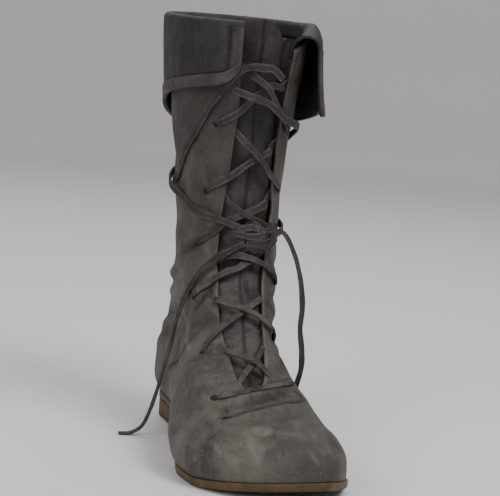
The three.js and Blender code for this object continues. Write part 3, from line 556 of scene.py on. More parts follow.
lace_finish = leather_finish(
    "lace_leather_finish",
    dark=(0.0105, 0.0088, 0.0078), light=(0.023, 0.0203, 0.0182), worn=(0.088, 0.081, 0.072),
    roughness=0.68, grain=0.35, patch_size=0.02,
)
lace_width = 0.0055
lace_thickness = 0.0015
thong_steps = 8
# across and through, as shares of the width and the thickness
thong_section = [
    (-0.5, -0.25), (-0.47, -0.5), (-0.2, -0.5), (0.2, -0.5), (0.47, -0.5), (0.5, -0.25), (0.5, 0.25),
    (0.47, 0.5), (0.2, 0.54), (-0.2, 0.54), (-0.47, 0.5), (-0.5, 0.25),
]


def thong_mesh(line, faces, width, thickness):
    """Points and faces of a flat thong along a line, its face turned the way given at each point."""
    along = np.gradient(line, axis=0)
    along /= np.linalg.norm(along, axis=1, keepdims=True)
    across = np.cross(faces, along)
    across /= np.linalg.norm(across, axis=1, keepdims=True)
    out = np.cross(along, across)
    shape = np.array(thong_section)
    width = np.broadcast_to(width, len(line))[:, None, None]
    thickness = np.broadcast_to(thickness, len(line))[:, None, None]
    rings = (
        line[:, None]
        + across[:, None] * shape[None, :, :1] * width
        + out[:, None] * shape[None, :, 1:] * thickness
    )
    sides = len(shape)
    ids = np.arange(len(line) * sides).reshape(len(line), sides)
    after = np.roll(ids, -1, axis=1)
    quads = np.stack([ids[:-1], ids[1:], after[1:], after[:-1]], -1).reshape(-1, 4).tolist()
    quads.append(ids[0].tolist())
    quads.append(ids[-1][::-1].tolist())
    return rings.reshape(-1, 3), quads


def lace_of(name, thongs, replaced, paler_low=0.0):
    """One piece of flat thongs, each with its line, faces and width; its cut edges are painted pale, partly
    as rubbed leather and partly as a painted highlight, and the last argument says how much paler its face
    is, low on the boot."""
    points, faces = [], []
    for line, looks, width in thongs:
        run = np.concatenate([[0], np.cumsum(np.linalg.norm(np.diff(line, axis=0), axis=1))])
        uneven = width * (1 + 0.07 * np.sin(run * 150 + 900 * width) + 0.05 * np.sin(run * 390))
        made, quads = thong_mesh(line, looks, uneven, lace_thickness)
        start = sum(len(group) for group in points)
        points.append(made)
        faces += [[start + corner for corner in quad] for quad in quads]
    points = np.vstack(points)
    piece = add_piece(name, points, faces, replaced, lace_finish)
    piece.data.set_sharp_from_angle(angle=math.radians(38))
    # the cut edges: partly rubbed leather, partly a painted highlight
    edge = np.array([abs(across) > 0.4 and through > -0.4 for across, through in thong_section])
    rings = len(points) // len(thong_section)
    face_worn = 0.1 + paler_low * eased((0.17 - points[:, 2]) / 0.06)
    paint_wear_and_shade(piece, np.where(np.tile(edge, rings), 1.0, face_worn), 0)
    return piece


over_leather = 0.0013
over_lacing = 0.0042
over_stay = 0.0032
over_wrap = 0.0066
# turn in degrees, section, lift
inner_wrap = [
    (16, 19.05, over_lacing), (2, 19.05, over_lacing), (-14, 19, over_lacing), (-30, 18.45, over_lacing),
    (-48, 17.7, over_leather), (-63, 17.1, over_leather), (-83, 16.4, over_leather),
    (-105, 15.98, over_leather), (-130, 15.85, over_leather), (-155, 15.8, over_stay),
    (-180, 15.75, over_stay), (-205, 15.65, over_stay), (-235, 15.4, over_leather),
    (-265, 15.1, over_leather), (-290, 14.85, over_leather), (-308, 14.65, over_lacing),
    (-324, 14.5, over_lacing), (-342, 14.38, over_lacing),
]
outer_wrap = [
    (-20, 18.5, over_wrap), (0, 18.3, over_wrap), (20, 18.1, over_wrap), (48, 17.7, over_wrap),
    (75, 17.3, over_leather), (105, 16.95, over_leather), (135, 16.7, over_leather),
    (158, 16.58, over_stay), (180, 16.5, over_stay), (202, 16.35, over_stay), (225, 16.15, over_lacing),
    (245, 15.98, over_lacing), (262, 15.82, over_lacing), (283, 15.54, over_leather),
    (300, 15.26, over_leather), (316, 15.1, over_lacing), (330, 14.98, over_lacing),
    (342, 14.82, over_lacing), (354, 14.64, over_lacing),
]


def laid_thong(places, width):
    """A thong laid on the leather: its line, the way that its face looks, and its width."""
    drawn = smooth_line(places, thong_steps)
    turn, section = np.radians(drawn[:, 0]), drawn[:, 1]
    return on_leather(turn, section, drawn[:, 2]), form_facing(turn, section), width


def wrap_piece(name, places, replaced):
    """A wrap from its lace hole, round the leg, to the knot."""
    thong = laid_thong(places, lace_width)
    piece = lace_of(name, [thong], replaced)


wrap_piece("lace_wrap_inner_thong", inner_wrap, ["lace_wrap_inner"])
wrap_piece("lace_wrap_outer_thong", outer_wrap, ["lace_wrap_outer"])

# Knot: the two wraps tied over the lacing at the front of the ankle, a loose bunch of short loops of
# the same thong, pulled tight by a strap across it.
knot_turn = math.radians(6)
knot_section = 14.35
knot_core = form(knot_turn, knot_section) + form_facing(knot_turn, knot_section) * 0.004
# each strand's places from the knot's middle: across, forward, up; all in millimetres
knot_strands = [
    (5.2, [(-15, -1, 5), (-9, 2, 7), (-2, 4, 7.5), (5, 4, 5), (9, 2, 0), (8, 0, -4), (3, 0, -6)]),
    (5.2, [(-13, 0, -5), (-8, 2, -2), (-3, 4.5, 0), (4, 5, 3), (10, 3, 7), (12, 0, 10)]),
    (6.0, [(-7, 4, -3.5), (-2, 6.5, -3.8), (4, 6.5, -3.5), (10, 5, -2), (13, 1.5, 0)]),
    (4.8, [(13, 1, 8), (12, 4, 3), (12.5, 4.5, -2), (10, 3, -7), (5, 2, -9.5), (-1, 1, -9)]),
    (4.6, [(-4, 1, 10.5), (0, 4.5, 8), (1.5, 6, 2), (0, 5, -5), (-3, 3, -10)]),
    (4.2, [(-9, 1, 2), (-6, 4, -1), (-6.5, 4.5, -6), (-2, 4, -9.5), (5, 4, -8), (9, 3, -4)]),
    (4.8, [(-18, -1, 3), (-13, 2, 2), (-7, 5.5, 1), (0, 7, 1.5), (6, 6, 3.5), (10, 3, 4)]),
    (4.4, [(-12, 0, -9), (-8, 3, -8), (-1, 5.5, -6.5), (5, 5.5, -6), (10, 3, -9), (12, 1, -12)]),
]
knot_thongs = []
for strand_width, strand_places in knot_strands:
    drawn = smooth_line(strand_places, 9) / 1000
    line = knot_core + np.stack([drawn[:, 0], -drawn[:, 1], drawn[:, 2]], -1)
    face = np.stack([drawn[:, 0] * 45, -np.ones(len(drawn)), drawn[:, 2] * 30], -1)
    knot_thongs.append((line, face, strand_width / 1000))
knot = lace_of("lace_knot_loops", knot_thongs, ["lace_knot"])

# Lace ends: the thong's two free ends hang from the knot, the inner one in a bow to the side and the
# outer one down over the ankle to the floor.
# x, y, z, then the way the thong's face looks
inner_end = [
    (0.0124, -0.083, 0.1658, 0, -0.4, 1), (0.018, -0.089, 0.168, 0, -0.4, 1),
    (0.022, -0.097, 0.165, 0.4, -0.7, 0.7), (0.027, -0.104, 0.152, 0.6, -0.8, 0.3),
    (0.031, -0.105, 0.14, 0.5, -0.9, 0.1), (0.034, -0.105, 0.128, 0.3, -0.9, 0.1),
    (0.036, -0.105, 0.112, 0.2, -1, 0), (0.036, -0.104, 0.096, 0.3, -0.9, 0),
    (0.039, -0.103, 0.08, 0.1, -0.9, 0.1), (0.041, -0.1, 0.066, -0.1, -0.9, 0.1),
    (0.04, -0.097, 0.054, -0.2, -0.9, 0), (0.038, -0.094, 0.04, 0, -0.9, 0),
    (0.037, -0.092, 0.028, 0.2, -0.9, 0),
]
outer_end = [
    (-0.0044, -0.0802, 0.1565, -0.1, -1, 0), (-0.015, -0.079, 0.1505, -0.3, -0.9, 0),
    (-0.026, -0.075, 0.143, -0.5, -0.8, 0), (-0.034, -0.07, 0.134, -0.7, -0.6, 0),
    (-0.039, -0.065, 0.121, -0.9, -0.4, 0), (-0.043, -0.06, 0.108, -1, -0.2, 0),
    (-0.046, -0.057, 0.093, -1, 0, 0), (-0.048, -0.054, 0.076, -1, 0, 0),
    (-0.051, -0.051, 0.058, -1, 0, 0), (-0.054, -0.048, 0.04, -1, 0, 0.1),
    (-0.058, -0.045, 0.022, -1, 0, 0.3), (-0.063, -0.042, 0.008, -0.8, 0, 0.6),
    (-0.071, -0.039, 0.002, -0.2, 0, 1), (-0.08, -0.037, 0.0014, 0, 0, 1),
]


def end_piece(name, places, replaced, width):
    """A free end that hangs from the knot."""
    drawn = smooth_line(places, thong_steps)
    line = drawn[:, :3]
    piece = lace_of(name, [(line, drawn[:, 3:], width)], replaced)


end_piece("lace_end_inner_thong", inner_end, ["lace_end_inner"], 0.0042)
end_piece("lace_end_outer_thong", outer_end, ["lace_end_outer"], 0.0046)

# Upper: one soft piece of grey-brown leather for foot and leg, rubbed pale on the toe and the flank,
# open down the front and at the collar, with punched holes for the lace.
# section, half width, middle, as shares of the throat's width
throat_shape = [
    (7.38, 0, -0.65),
    (7.5, 0.14, -0.64),
    (7.8, 0.27, -0.6),
    (8.9, 0.39, -0.47),
    (9.6, 0.44, -0.4),
    (11, 0.49, -0.26),
    (12.5, 0.5, -0.17),
    (13.7, 0.55, -0.08),
    (15.2, 0.55, 0),
    (16.2, 0.5, 0.04),
    (18, 0.48, 0.09),
    (19.2, 0.55, 0.07),
    (20, 0.58, 0.07),
]
throat_half, throat_middle = curve(throat_shape, 1), curve(throat_shape, 2)
throat_foot = throat_shape[0][0]
throat_spread = 0.004
spread_from = 13
spread_over = 3
# lateral section, lateral place, medial section, medial place
eyelets = [
    (19.1, -0.89, 19, 0.99),
    (17.6, -0.79, 17.5, 0.99),
    (15.8, -0.86, 15.9, 0.89),
    (14, -0.97, 14.2, 0.82),
    (11.5, -1.07, 12.4, 0.75),
    (8.75, -1.27, 9.3, 0.47),
    (6.65, -1.46, 7.45, 0.48),
    (4.9, -1.38, 6.35, 0.57),
]
lateral_eyelets = [(float(turn_to(e[0], e[1] * throat_width)), e[0]) for e in eyelets]
medial_eyelets = [(float(turn_to(e[2], e[3] * throat_width)), e[2]) for e in eyelets]


def throat_edge(section, side):
    """The turn of the throat's edge; below the throat both edges meet in one line."""
    held = np.maximum(section, throat_foot)
    x = throat_width * (throat_middle(held) + side * throat_half(held))
    spread = throat_spread * eased((held - spread_from) / spread_over) if side > 0 else 0
    return turn_to(held, x + spread)


def lifted(turn, section, *lifts):
    """For each lift, the points of the last's outside raised by it."""
    base, facing = form(turn, section), form_facing(turn, section)
    return [base + facing * lift[..., None] for lift in lifts]


def add_sheet(name, outside, inside, replaced, material, open_from=0):
    """A sheet of leather between two grids of points, closed round its edges. Below the row that it is
    open from, its last column lies on its first and has no edge."""
    rows, columns = outside.shape[:2]
    out, back = np.arange(2 * rows * columns).reshape(2, rows, columns)

    def quads(a, b, c, d):
        return np.stack([a, b, c, d], -1).reshape(-1, 4)

    made = [
        quads(out[:-1, :-1], out[:-1, 1:], out[1:, 1:], out[1:, :-1]),
        quads(back[:-1, :-1], back[1:, :-1], back[1:, 1:], back[:-1, 1:]),
        quads(out[0, :-1], back[0, :-1], back[0, 1:], out[0, 1:]),
        quads(out[-1, :-1], out[-1, 1:], back[-1, 1:], back[-1, :-1]),
        quads(out[:-1, 0], out[1:, 0], back[1:, 0], back[:-1, 0])[open_from:],
        quads(out[:-1, -1], back[:-1, -1], back[1:, -1], out[1:, -1])[open_from:],
    ]
    points = np.stack([outside, inside])
    return add_piece(name, points, np.vstack(made).tolist(), replaced, material)


def outside_only(values):
    """The values of a sheet's outside, with none on its inside."""
    return np.stack([values, values * 0])


def close_seam(piece):
    """Joins the points that lie on one another, with what is painted on them."""
    work = bmesh.new()
    work.from_mesh(piece.data)
    bmesh.ops.remove_doubles(work, verts=work.verts, dist=1e-6)
    work.to_mesh(piece.data)
    work.free()
    piece.data.update()


feather_gap = 0.0002
# rows lie closest over the vamp, where the folds are
upper_rows = np.concatenate(
    [np.linspace(0, 4.4, 40)[:-1], np.linspace(4.4, 8, 72)[:-1], np.linspace(8, top_section, 96)]
)
upper_columns = 232
first_turn = throat_edge(upper_rows, 1)[:, None]
last_turn = throat_edge(upper_rows, -1)[:, None] + 2 * np.pi
upper_turns = first_turn + (last_turn - first_turn) * np.linspace(0, 1, upper_columns)
upper_levels = np.broadcast_to(upper_rows[:, None], upper_turns.shape)
feather_z = form(upper_turns[0], upper_levels[0])[:, 2] + feather_gap
upper_stand, upper_shade_and_darkening = wear_relief(form(upper_turns, upper_levels))
upper_outside, upper_inside = lifted(upper_turns, upper_levels, upper_stand, upper_stand - leather)
upper_outside[0, :, 2] = feather_z
upper_inside[0, :, 2] = feather_z
upper_finish = leather_finish(
    "upper_leather_finish",
    dark=(0.0265, 0.0248, 0.0213), light=(0.056, 0.0532, 0.0448), worn=(0.165, 0.149, 0.125),
    roughness=0.62, grain=0.5, patch_size=0.06,
)
throat_row = int(np.searchsorted(upper_rows, throat_foot))
upper = add_sheet(
    "upper_leather", upper_outside, upper_inside, ["upper"], upper_finish, throat_row
)
# rubbed on the toe, low on the outer flank and along the throat's edges
x, y, z = np.moveaxis(upper_outside, -1, 0)
toe_worn = 0.5 * eased((-0.13 - y) / 0.08)
flank_worn = 0.55 * eased((0.11 - z) / 0.08) * eased((-x - 0.01) / 0.03)
from_edge = np.minimum(upper_turns - first_turn, last_turn - upper_turns)
edge_worn = 0.8 * np.exp(-((from_edge / 0.05) ** 2)) * (upper_levels > 7.6)
edge_worn *= 1 - 0.6 * eased((upper_levels - 13) / 2)
worn = np.maximum(np.maximum(toe_worn, flank_worn), edge_worn)
# pale scuffs: reach in metres, strength, then places by turn in degrees and section
scuffs = [
    (0.012, 0.25, [(-16, 4.4), (-12, 4.0)]),
    (0.0016, 1.1, [(-3, 4.7), (-9, 3.8), (-11, 3.1)]),
    (0.0016, 0.9, [(6, 4.2), (2, 3.3), (3, 2.6)]),
    (0.010, 0.3, [(6, 3.4), (9, 3.1)]),
    (0.009, -0.8, [(24, 4.2), (30, 3.2), (30, 2)]),
    (0.014, 0.45, [(-54, 9.0), (-52, 8.9)]),
    (0.018, 0.6, [(-64, 13.0), (-60, 14.6)]),
    (0.014, 0.6, [(-75, 12.2), (-98, 11.6)]),
    (0.020, 0.45, [(-130, 10.8), (-128, 10.7)]),
    (0.020, 0.45, [(120, 11.4), (80, 10.2)]),
    (0.0020, 1.2, [(0, 4.9), (-5, 3.75), (-7.5, 2.55), (-7, 1.65)]),
    (0.0022, 0.75, [(-29, 2.95), (-20.5, 3.6), (-11, 3.95)]),
    (0.0035, 0.75, [(-27.5, 4.25), (-20.5, 4.2), (-14, 4)]),
    (0.0035, 0.45, [(-48.5, 3), (-44, 2.1), (-40, 1.7)]),
    (0.0020, 0.55, [(-32, 4), (-33, 3.1), (-33, 2)]),
    (0.0030, 0.75, [(19, 4.3), (13, 2.9), (19, 1.55)]),
    (0.0035, 0.75, [(-27.5, 9.9), (-30.5, 9.2), (-26.5, 8.6)]),
    (0.0035, 0.75, [(-87.5, 10.3), (-77, 9.25), (-67.5, 8.35)]),
    (0.0045, 0.6, [(-44, 14.75), (-42.5, 13.4), (-34.5, 12.25)]),
    (0.0035, 0.6, [(-111, 14.9), (-73, 14.4), (-54, 14.15)]),
    (0.0035, 0.6, [(-94.5, 13.1), (-71.5, 12.3), (-68, 11.45)]),
    (0.011, -0.9, [(-4, 1.7), (6, 1.5), (18, 1.8)]),
]
flat_outside = upper_outside.reshape(-1, 3)
flat_worn = worn.reshape(-1)
for scuff_reach, scuff_strength, scuff_places in scuffs:
    drawn = smooth_line(scuff_places, 8)
    line = form(np.radians(drawn[:, 0]), drawn[:, 1])
    near, gap, _ = close_to(flat_outside, line, 3 * scuff_reach)
    flat_worn[near] += scuff_strength * np.exp(-((gap / scuff_reach) ** 2))
worn = np.clip(worn, 0.08, 1.3)
# darker high on the leg, and painted shade beside the throat and in the creases
darker_up_leg = 0.34 * eased((upper_levels - 14.3) / 2.5)
beside_throat = 0.5 * np.exp(-(((last_turn - upper_turns) / 0.16) ** 2))
beside_throat *= eased((upper_levels - 13) / 2)
upper_shade_and_darkening = np.maximum(np.maximum(upper_shade_and_darkening * 1.15, darker_up_leg), beside_throat)
paint_wear_and_shade(upper, outside_only(worn), outside_only(upper_shade_and_darkening))
close_seam(upper)

# Backstay: a narrow strip of the upper's leather that covers the back seam, sewn on along both edges,
# from the heel to under the cuff.
stay_width = 0.02
stay_stands = 0.0011
stay_crown = 0.0009
stay_first, stay_last = 0.15, 18.6
stay_flat_to = 0.42
stay_gap = 0.0001
stay_rows = np.linspace(stay_first, stay_last, 150)[:, None]
stay_columns = np.linspace(-0.5, 0.5, 15)
stay_levels = np.broadcast_to(stay_rows, (len(stay_rows), len(stay_columns)))
stay_turn = np.pi - stay_columns * stay_width / section_half(stay_levels)
stay_slope = (np.abs(stay_columns) - stay_flat_to) / (0.5 - stay_flat_to)
stay_edge = 1 - np.clip(stay_slope, 0, 1)[None] ** 2
stay_stand, stay_crease_shade = wear_relief(form(stay_turn, stay_levels))
stay_ripple = 0.0006 * np.sin(stay_rows * 2.9 + 0.6) * np.sin(stay_rows * 1.7) * (1 - stay_rows / 24)
stay_lift = stay_stand + stay_ripple + stay_stands + stay_crown * stay_edge
stay_outside, stay_inside = lifted(stay_turn, stay_levels, stay_lift, stay_stand + stay_gap)
backstay = add_sheet(
    "backstay_leather", stay_outside, stay_inside, ["backstay"], upper_finish
)
# half painted shade in its creases, and darker along its sloped edges
paint_wear_and_shade(backstay, 0.55, outside_only(stay_crease_shade * 0.5 + 0.4 * (1 - stay_edge)))

# Cuff: a deep band of darker leather sewn inside the collar, rolled over it and hanging outside,
# with a stitched hem. Its inner front end is bent away from the leg.
cuff_thickness = 0.0024
cuff_drop = 0.087
cuff_corner = 0.016
flap_corner = 0.006
cuff_inside = 0.008
cuff_flare = 0.026
cuff_opening = 0.017
cuff_gap = 0.0009
arch_share = 0.4
flare_power = 1.4
hem_width = 0.0095
hem_stands = 0.001
hem_groove = 0.0009
groove_reach = 0.0009
edge_reach = 0.001
# along, drop, flare, open
cuff_shape = [
    (0, 0.47, 0.1, 0),
    (0.15, 0.57, -0.2, 0),
    (0.3, 0.69, -0.22, 0),
    (0.5, 1, 0, 0),
    (0.75, 0.85, 0.1, 0),
    (0.88, 0.7, 0.45, 0.18),
    (1, 0.55, 0.5, 1),
]
cuff_drop_share, cuff_flare_share, cuff_open_share = [curve(cuff_shape, k) for k in (1, 2, 3)]
cuff_ends = [float(throat_edge(np.array(float(top_section)), side)) for side in (-1, 1)]
fine_turns = np.linspace(cuff_ends[0], cuff_ends[1] - 2 * np.pi, 600)
fine_collar = form(fine_turns, float(top_section))
fine_lengths = np.concatenate([[0], np.cumsum(np.linalg.norm(np.diff(fine_collar, axis=0), axis=1))])
around = fine_lengths[-1]
end_places = np.array([0, 0.0008, 0.003, 0.006, hem_width - 0.0006, hem_width, 0.012, 0.014])
between_ends = np.linspace(cuff_corner, around - cuff_corner, 210)
cuff_places = np.concatenate([end_places, between_ends, around - end_places[::-1]])
cuff_turns = np.interp(cuff_places, fine_lengths, fine_turns)
cuff_base = form(cuff_turns, float(top_section))
cuff_out = form_facing(cuff_turns, float(top_section))
cuff_up = cuff_base - form(cuff_turns, top_section - 0.02)
cuff_up /= np.linalg.norm(cuff_up, axis=1, keepdims=True)
inner_leg = -(leather + cuff_gap + cuff_thickness / 2)
outer_leg = cuff_gap + cuff_thickness / 2
roll_middle, roll_radius = (inner_leg + outer_leg) / 2, (outer_leg - inner_leg) / 2
cuff_share = cuff_places / around
cuff_open = cuff_opening * cuff_open_share(cuff_share)[:, None]
cuff_grid = []
# sewn inside the collar, then rolled over it, then hanging outside
for lower in np.linspace(cuff_inside, 0, 6)[:-1]:
    cuff_grid.append(cuff_base + cuff_out * inner_leg - cuff_up * lower)
for angle in np.linspace(math.pi, 0, 12):
    raised = cuff_up * (roll_radius + arch_share * cuff_open) * math.sin(angle)
    aside = cuff_open * [1, 0, 0] * (1 + math.cos(angle)) / 2
    out = cuff_out * (roll_middle + roll_radius * math.cos(angle))
    cuff_grid.append(cuff_base + out + raised + aside)
first_hanging = len(cuff_grid)
from_end = np.minimum(cuff_places, around - cuff_places)
corner_round = np.where(cuff_places < around / 2, cuff_corner, flap_corner)
corner = np.maximum(corner_round - from_end, 0)
full_drop = cuff_drop * cuff_drop_share(cuff_share)
drop = full_drop - corner_round + np.sqrt(corner_round**2 - corner**2)
level = cuff_out * [1, 1, 0]
level /= np.linalg.norm(level, axis=1, keepdims=True)
hem_shares = (1, 0.94, 0.75, 0.5, 0.25, 0.06, 0)
falls = [share * (drop - hem_width) for share in np.linspace(0.03, 0.98, 46)]
falls += [drop - hem_width * share for share in hem_shares]
cuff_waves = 0.0009 * np.sin(cuff_places * 52 + 0.8) + 0.0007 * np.sin(cuff_places * 91 + 2.2)
for down in falls:
    flare = cuff_flare * cuff_flare_share(cuff_share) * (down / cuff_drop) ** flare_power
    ripple = cuff_waves * np.clip(down / 0.06, 0, 1)
    hung = cuff_base + cuff_out * outer_leg + level * (flare + ripple)[:, None] + cuff_open * [1, 0, 0]
    hung[:, 2] -= down
    cuff_grid.append(hung)
cuff_grid = np.array(cuff_grid)
cuff_facing = np.cross(np.gradient(cuff_grid, axis=0), np.gradient(cuff_grid, axis=1))
cuff_facing /= np.linalg.norm(cuff_facing, axis=-1, keepdims=True)
last_above_hem = -len(hem_shares)
on_hem = np.zeros(cuff_grid.shape[:2])
on_hem[last_above_hem + 1 :] = 1
on_hem[first_hanging:, from_end < hem_width - 0.0003] = 1
hem_line = np.zeros(cuff_grid.shape[:2])
hem_line[last_above_hem] = 1
hem_line[first_hanging : last_above_hem + 1, np.abs(from_end - hem_width) < groove_reach] = 1
cuff_stand = cuff_thickness / 2 + hem_stands * on_hem - hem_groove * hem_line
cuff_outside = cuff_grid - cuff_facing * cuff_stand[..., None]
cuff_inner_face = cuff_grid + cuff_facing * cuff_thickness / 2
cuff_finish = leather_finish(
    "cuff_leather_finish",
    dark=(0.0062, 0.0046, 0.0049), light=(0.0125, 0.0099, 0.0102), worn=(0.066, 0.057, 0.056),
    roughness=0.6, grain=0.45, patch_size=0.05,
)
cuff = add_sheet("cuff_leather", cuff_outside, cuff_inner_face, ["cuff"], cuff_finish)
cuff_worn = np.where(on_hem > 0, 1.0, 0.1)
cuff_worn[first_hanging : last_above_hem + 1, from_end < hem_width] = 0.5
cuff_worn[first_hanging:, from_end < edge_reach] = 1.3
# painted shade along the hem's groove, and half painted shade over the whole inner face
paint_wear_and_shade(cuff, outside_only(cuff_worn), np.stack([hem_line, np.full(hem_line.shape, 0.5)]))

# Tongue: a long leaf of thin dark leather behind the throat, with a seam down its middle and soft
# folds across it.
tongue_thickness = 0.002
tongue_overlap = 0.007
tongue_above_cuff = 0.005
seam_width = 0.0014
seam_depth = 0.0012
tongue_first = 6.6
tongue_behind = 0.003
tongue_behind_cuff = 0.0058
tongue_rows = np.linspace(tongue_first, top_section, 170)[:, None]
tongue_columns = np.linspace(-1, 1, 61)
tongue_levels = np.broadcast_to(tongue_rows, (len(tongue_rows), tongue_columns.size))
tongue_reach = throat_width * throat_half(tongue_levels) + tongue_overlap
tongue_x = throat_width * throat_middle(tongue_levels) + tongue_columns * tongue_reach
tongue_turn = turn_to(tongue_levels, tongue_x)
below_top = tongue_levels - top_section
tongue_set = tongue_behind + tongue_behind_cuff * eased((below_top + 3) / 1.5)
tongue_seam = np.exp(-((tongue_columns * tongue_reach / seam_width) ** 2))
tongue_folds = 0.0008 * np.sin(tongue_levels * 5.3 + tongue_columns * 1.5)
tongue_folds *= np.sin(tongue_levels * 2.1 + 1) ** 2
tongue_lift = -leather - tongue_set - seam_depth * tongue_seam + tongue_folds
tongue_outside, tongue_inside = lifted(
    tongue_turn, tongue_levels, tongue_lift, tongue_lift - tongue_thickness
)
over_top = eased((below_top + 1.2) / 1.2) * tongue_above_cuff
tongue_outside[..., 2] += over_top
tongue_inside[..., 2] += over_top
tongue_finish = leather_finish(
    "tongue_leather_finish",
    dark=(0.0135, 0.011, 0.0108), light=(0.025, 0.0212, 0.0205), worn=(0.07, 0.066, 0.0595),
    roughness=0.68, grain=0.4, patch_size=0.03,
)
tongue = add_sheet(
    "tongue_leather", tongue_outside, tongue_inside, ["tongue"], tongue_finish
)
tongue_worn = 1.3 * eased((18.5 - tongue_levels) / 8)
# painted shade in the seam's groove
paint_wear_and_shade(tongue, outside_only(tongue_worn), outside_only(tongue_seam * 0.9))

# Lacing: the thong threaded through the eyelets. The lengths that rise to the inner side start in an
# outer hole and dive under the inner edge; the others come out from under the outer edge, cross over
# them and go down into an inner hole.
in_hole = -0.003
on_top = 0.0012
across_throat = 0.0004
crossing = 0.003
under_edge = -leather - 0.0014
lace_twist = 0.25
# each length's places: turn in degrees, section, lift
lacing_lengths = [
    (0.0052, [(-35, 17.6, in_hole), (-31.5, 17.65, on_top), (-14.5, 17.95, on_top),
        (0.5, 18.45, across_throat), (16, 18.8, across_throat), (27, 18.95, under_edge),
        (36, 19, under_edge)]),
    (0.005, [(-25, 19.05, under_edge), (-14, 18.98, under_edge / 2), (-7, 18.85, on_top),
        (6.5, 18.55, crossing), (25, 18.05, crossing), (38, 17.65, on_top), (46.5, 17.5, in_hole)]),
    (0.0052, [(-46, 15.8, in_hole), (-42, 15.9, on_top), (-18, 16.3, on_top), (1, 16.7, across_throat),
        (17, 16.97, across_throat), (25, 17.1, under_edge), (34, 17.3, under_edge)]),
    (0.005, [(-25, 17.6, under_edge), (-16, 17.42, under_edge / 2), (-9, 17.25, on_top),
        (3.5, 16.88, crossing), (18.5, 16.4, crossing), (32, 16.1, crossing), (44, 15.95, on_top),
        (47.5, 15.9, in_hole)]),
    (0.0058, [(-61.5, 14, in_hole), (-56, 14.1, on_top), (-36, 14.5, on_top), (-20, 14.92, on_top),
        (2, 15.25, across_throat), (18, 15.5, across_throat), (27, 15.65, under_edge),
        (36, 15.85, under_edge)]),
    (0.0034, [(-30, 15.8, under_edge), (-20, 15.55, under_edge / 2), (-12, 15.38, across_throat),
        (0, 15.1, crossing), (18, 14.85, crossing), (33, 14.5, crossing), (43, 14.25, on_top),
        (46, 14.2, in_hole)]),
    (0.0055, [(-59, 11.45, in_hole), (-54, 11.7, on_top), (-44, 12.15, on_top), (-32, 12.62, on_top),
        (-21, 12.9, on_top), (-9, 13.1, on_top), (1.5, 13.45, across_throat), (14, 13.8, across_throat),
        (27, 14.1, under_edge), (36, 14.3, under_edge)]),
    (0.0052, [(-38, 13.3, under_edge), (-26.5, 13.5, across_throat), (-17, 13.62, on_top),
        (-9, 13.6, crossing), (2, 13.48, crossing), (17.5, 13.2, crossing), (33, 12.75, crossing),
        (42, 12.45, on_top), (44.5, 12.38, in_hole)]),
    (0.0045, [(-47, 8.7, in_hole), (-43.5, 8.95, on_top), (-37.5, 9.4, on_top), (-27.5, 10, on_top),
        (-10, 10.8, across_throat), (0.5, 11.25, across_throat), (12.5, 11.6, across_throat),
        (20, 11.85, under_edge), (30, 12.2, under_edge)]),
    (0.0052, [(-44, 11.5, under_edge), (-36, 11.5, under_edge / 2), (-29, 11.45, on_top),
        (-21.5, 11.3, on_top), (-10.5, 11.08, crossing), (-0.5, 10.85, crossing), (11, 10.55, crossing),
        (28, 9.95, crossing), (42, 9.45, on_top), (46, 9.3, in_hole)]),
    (0.0042, [(-18, 7.3, under_edge), (-12.5, 7.75, under_edge / 2), (-7, 8.15, across_throat),
        (-2, 8.45, across_throat), (4, 8.85, across_throat), (10, 9.2, across_throat),
        (17, 9.5, under_edge), (24, 9.8, under_edge)]),
    (0.0055, [(-30, 9.2, under_edge), (-23, 9.1, under_edge / 2), (-16.5, 9, on_top), (-5, 8.7, crossing),
        (2, 8.42, crossing), (8, 8.1, on_top), (13, 7.9, under_edge / 2), (20, 7.7, under_edge)]),
    (0.0042, [(-33.3, 6.65, in_hole), (-28.5, 6.82, on_top), (-16.5, 7.22, on_top), (0.5, 7.5, on_top),
        (14, 7.58, on_top), (26, 7.52, on_top), (35, 7.46, on_top), (40, 7.42, in_hole)]),
]
lacing_thongs = []
for length_width, length_places in lacing_lengths:
    line, faces, _ = laid_thong(length_places, length_width)
    twist = lace_twist * np.sin(np.linspace(0, 5, len(line)) + 900 * length_width)[:, None]
    lacing_thongs.append((line, faces + twist * [0.4, 0.2, 1], length_width))
lace_of("lacing_thong", lacing_thongs, ["lacing"], 0.75)
low_bar_width = 0.0022
in_crease = -0.0003
low_bar = [
    (-38.2, 4.85, in_hole), (-34, 5.15, in_crease), (-21, 6.02, in_crease), (-4, 6.52, in_crease),
    (13, 6.67, in_crease), (24, 6.6, in_crease), (38, 6.36, in_crease), (41.5, 6.33, in_hole),
]
lace_of("lace_bar_thong", [laid_thong(low_bar, low_bar_width)], ["lace_bar"])

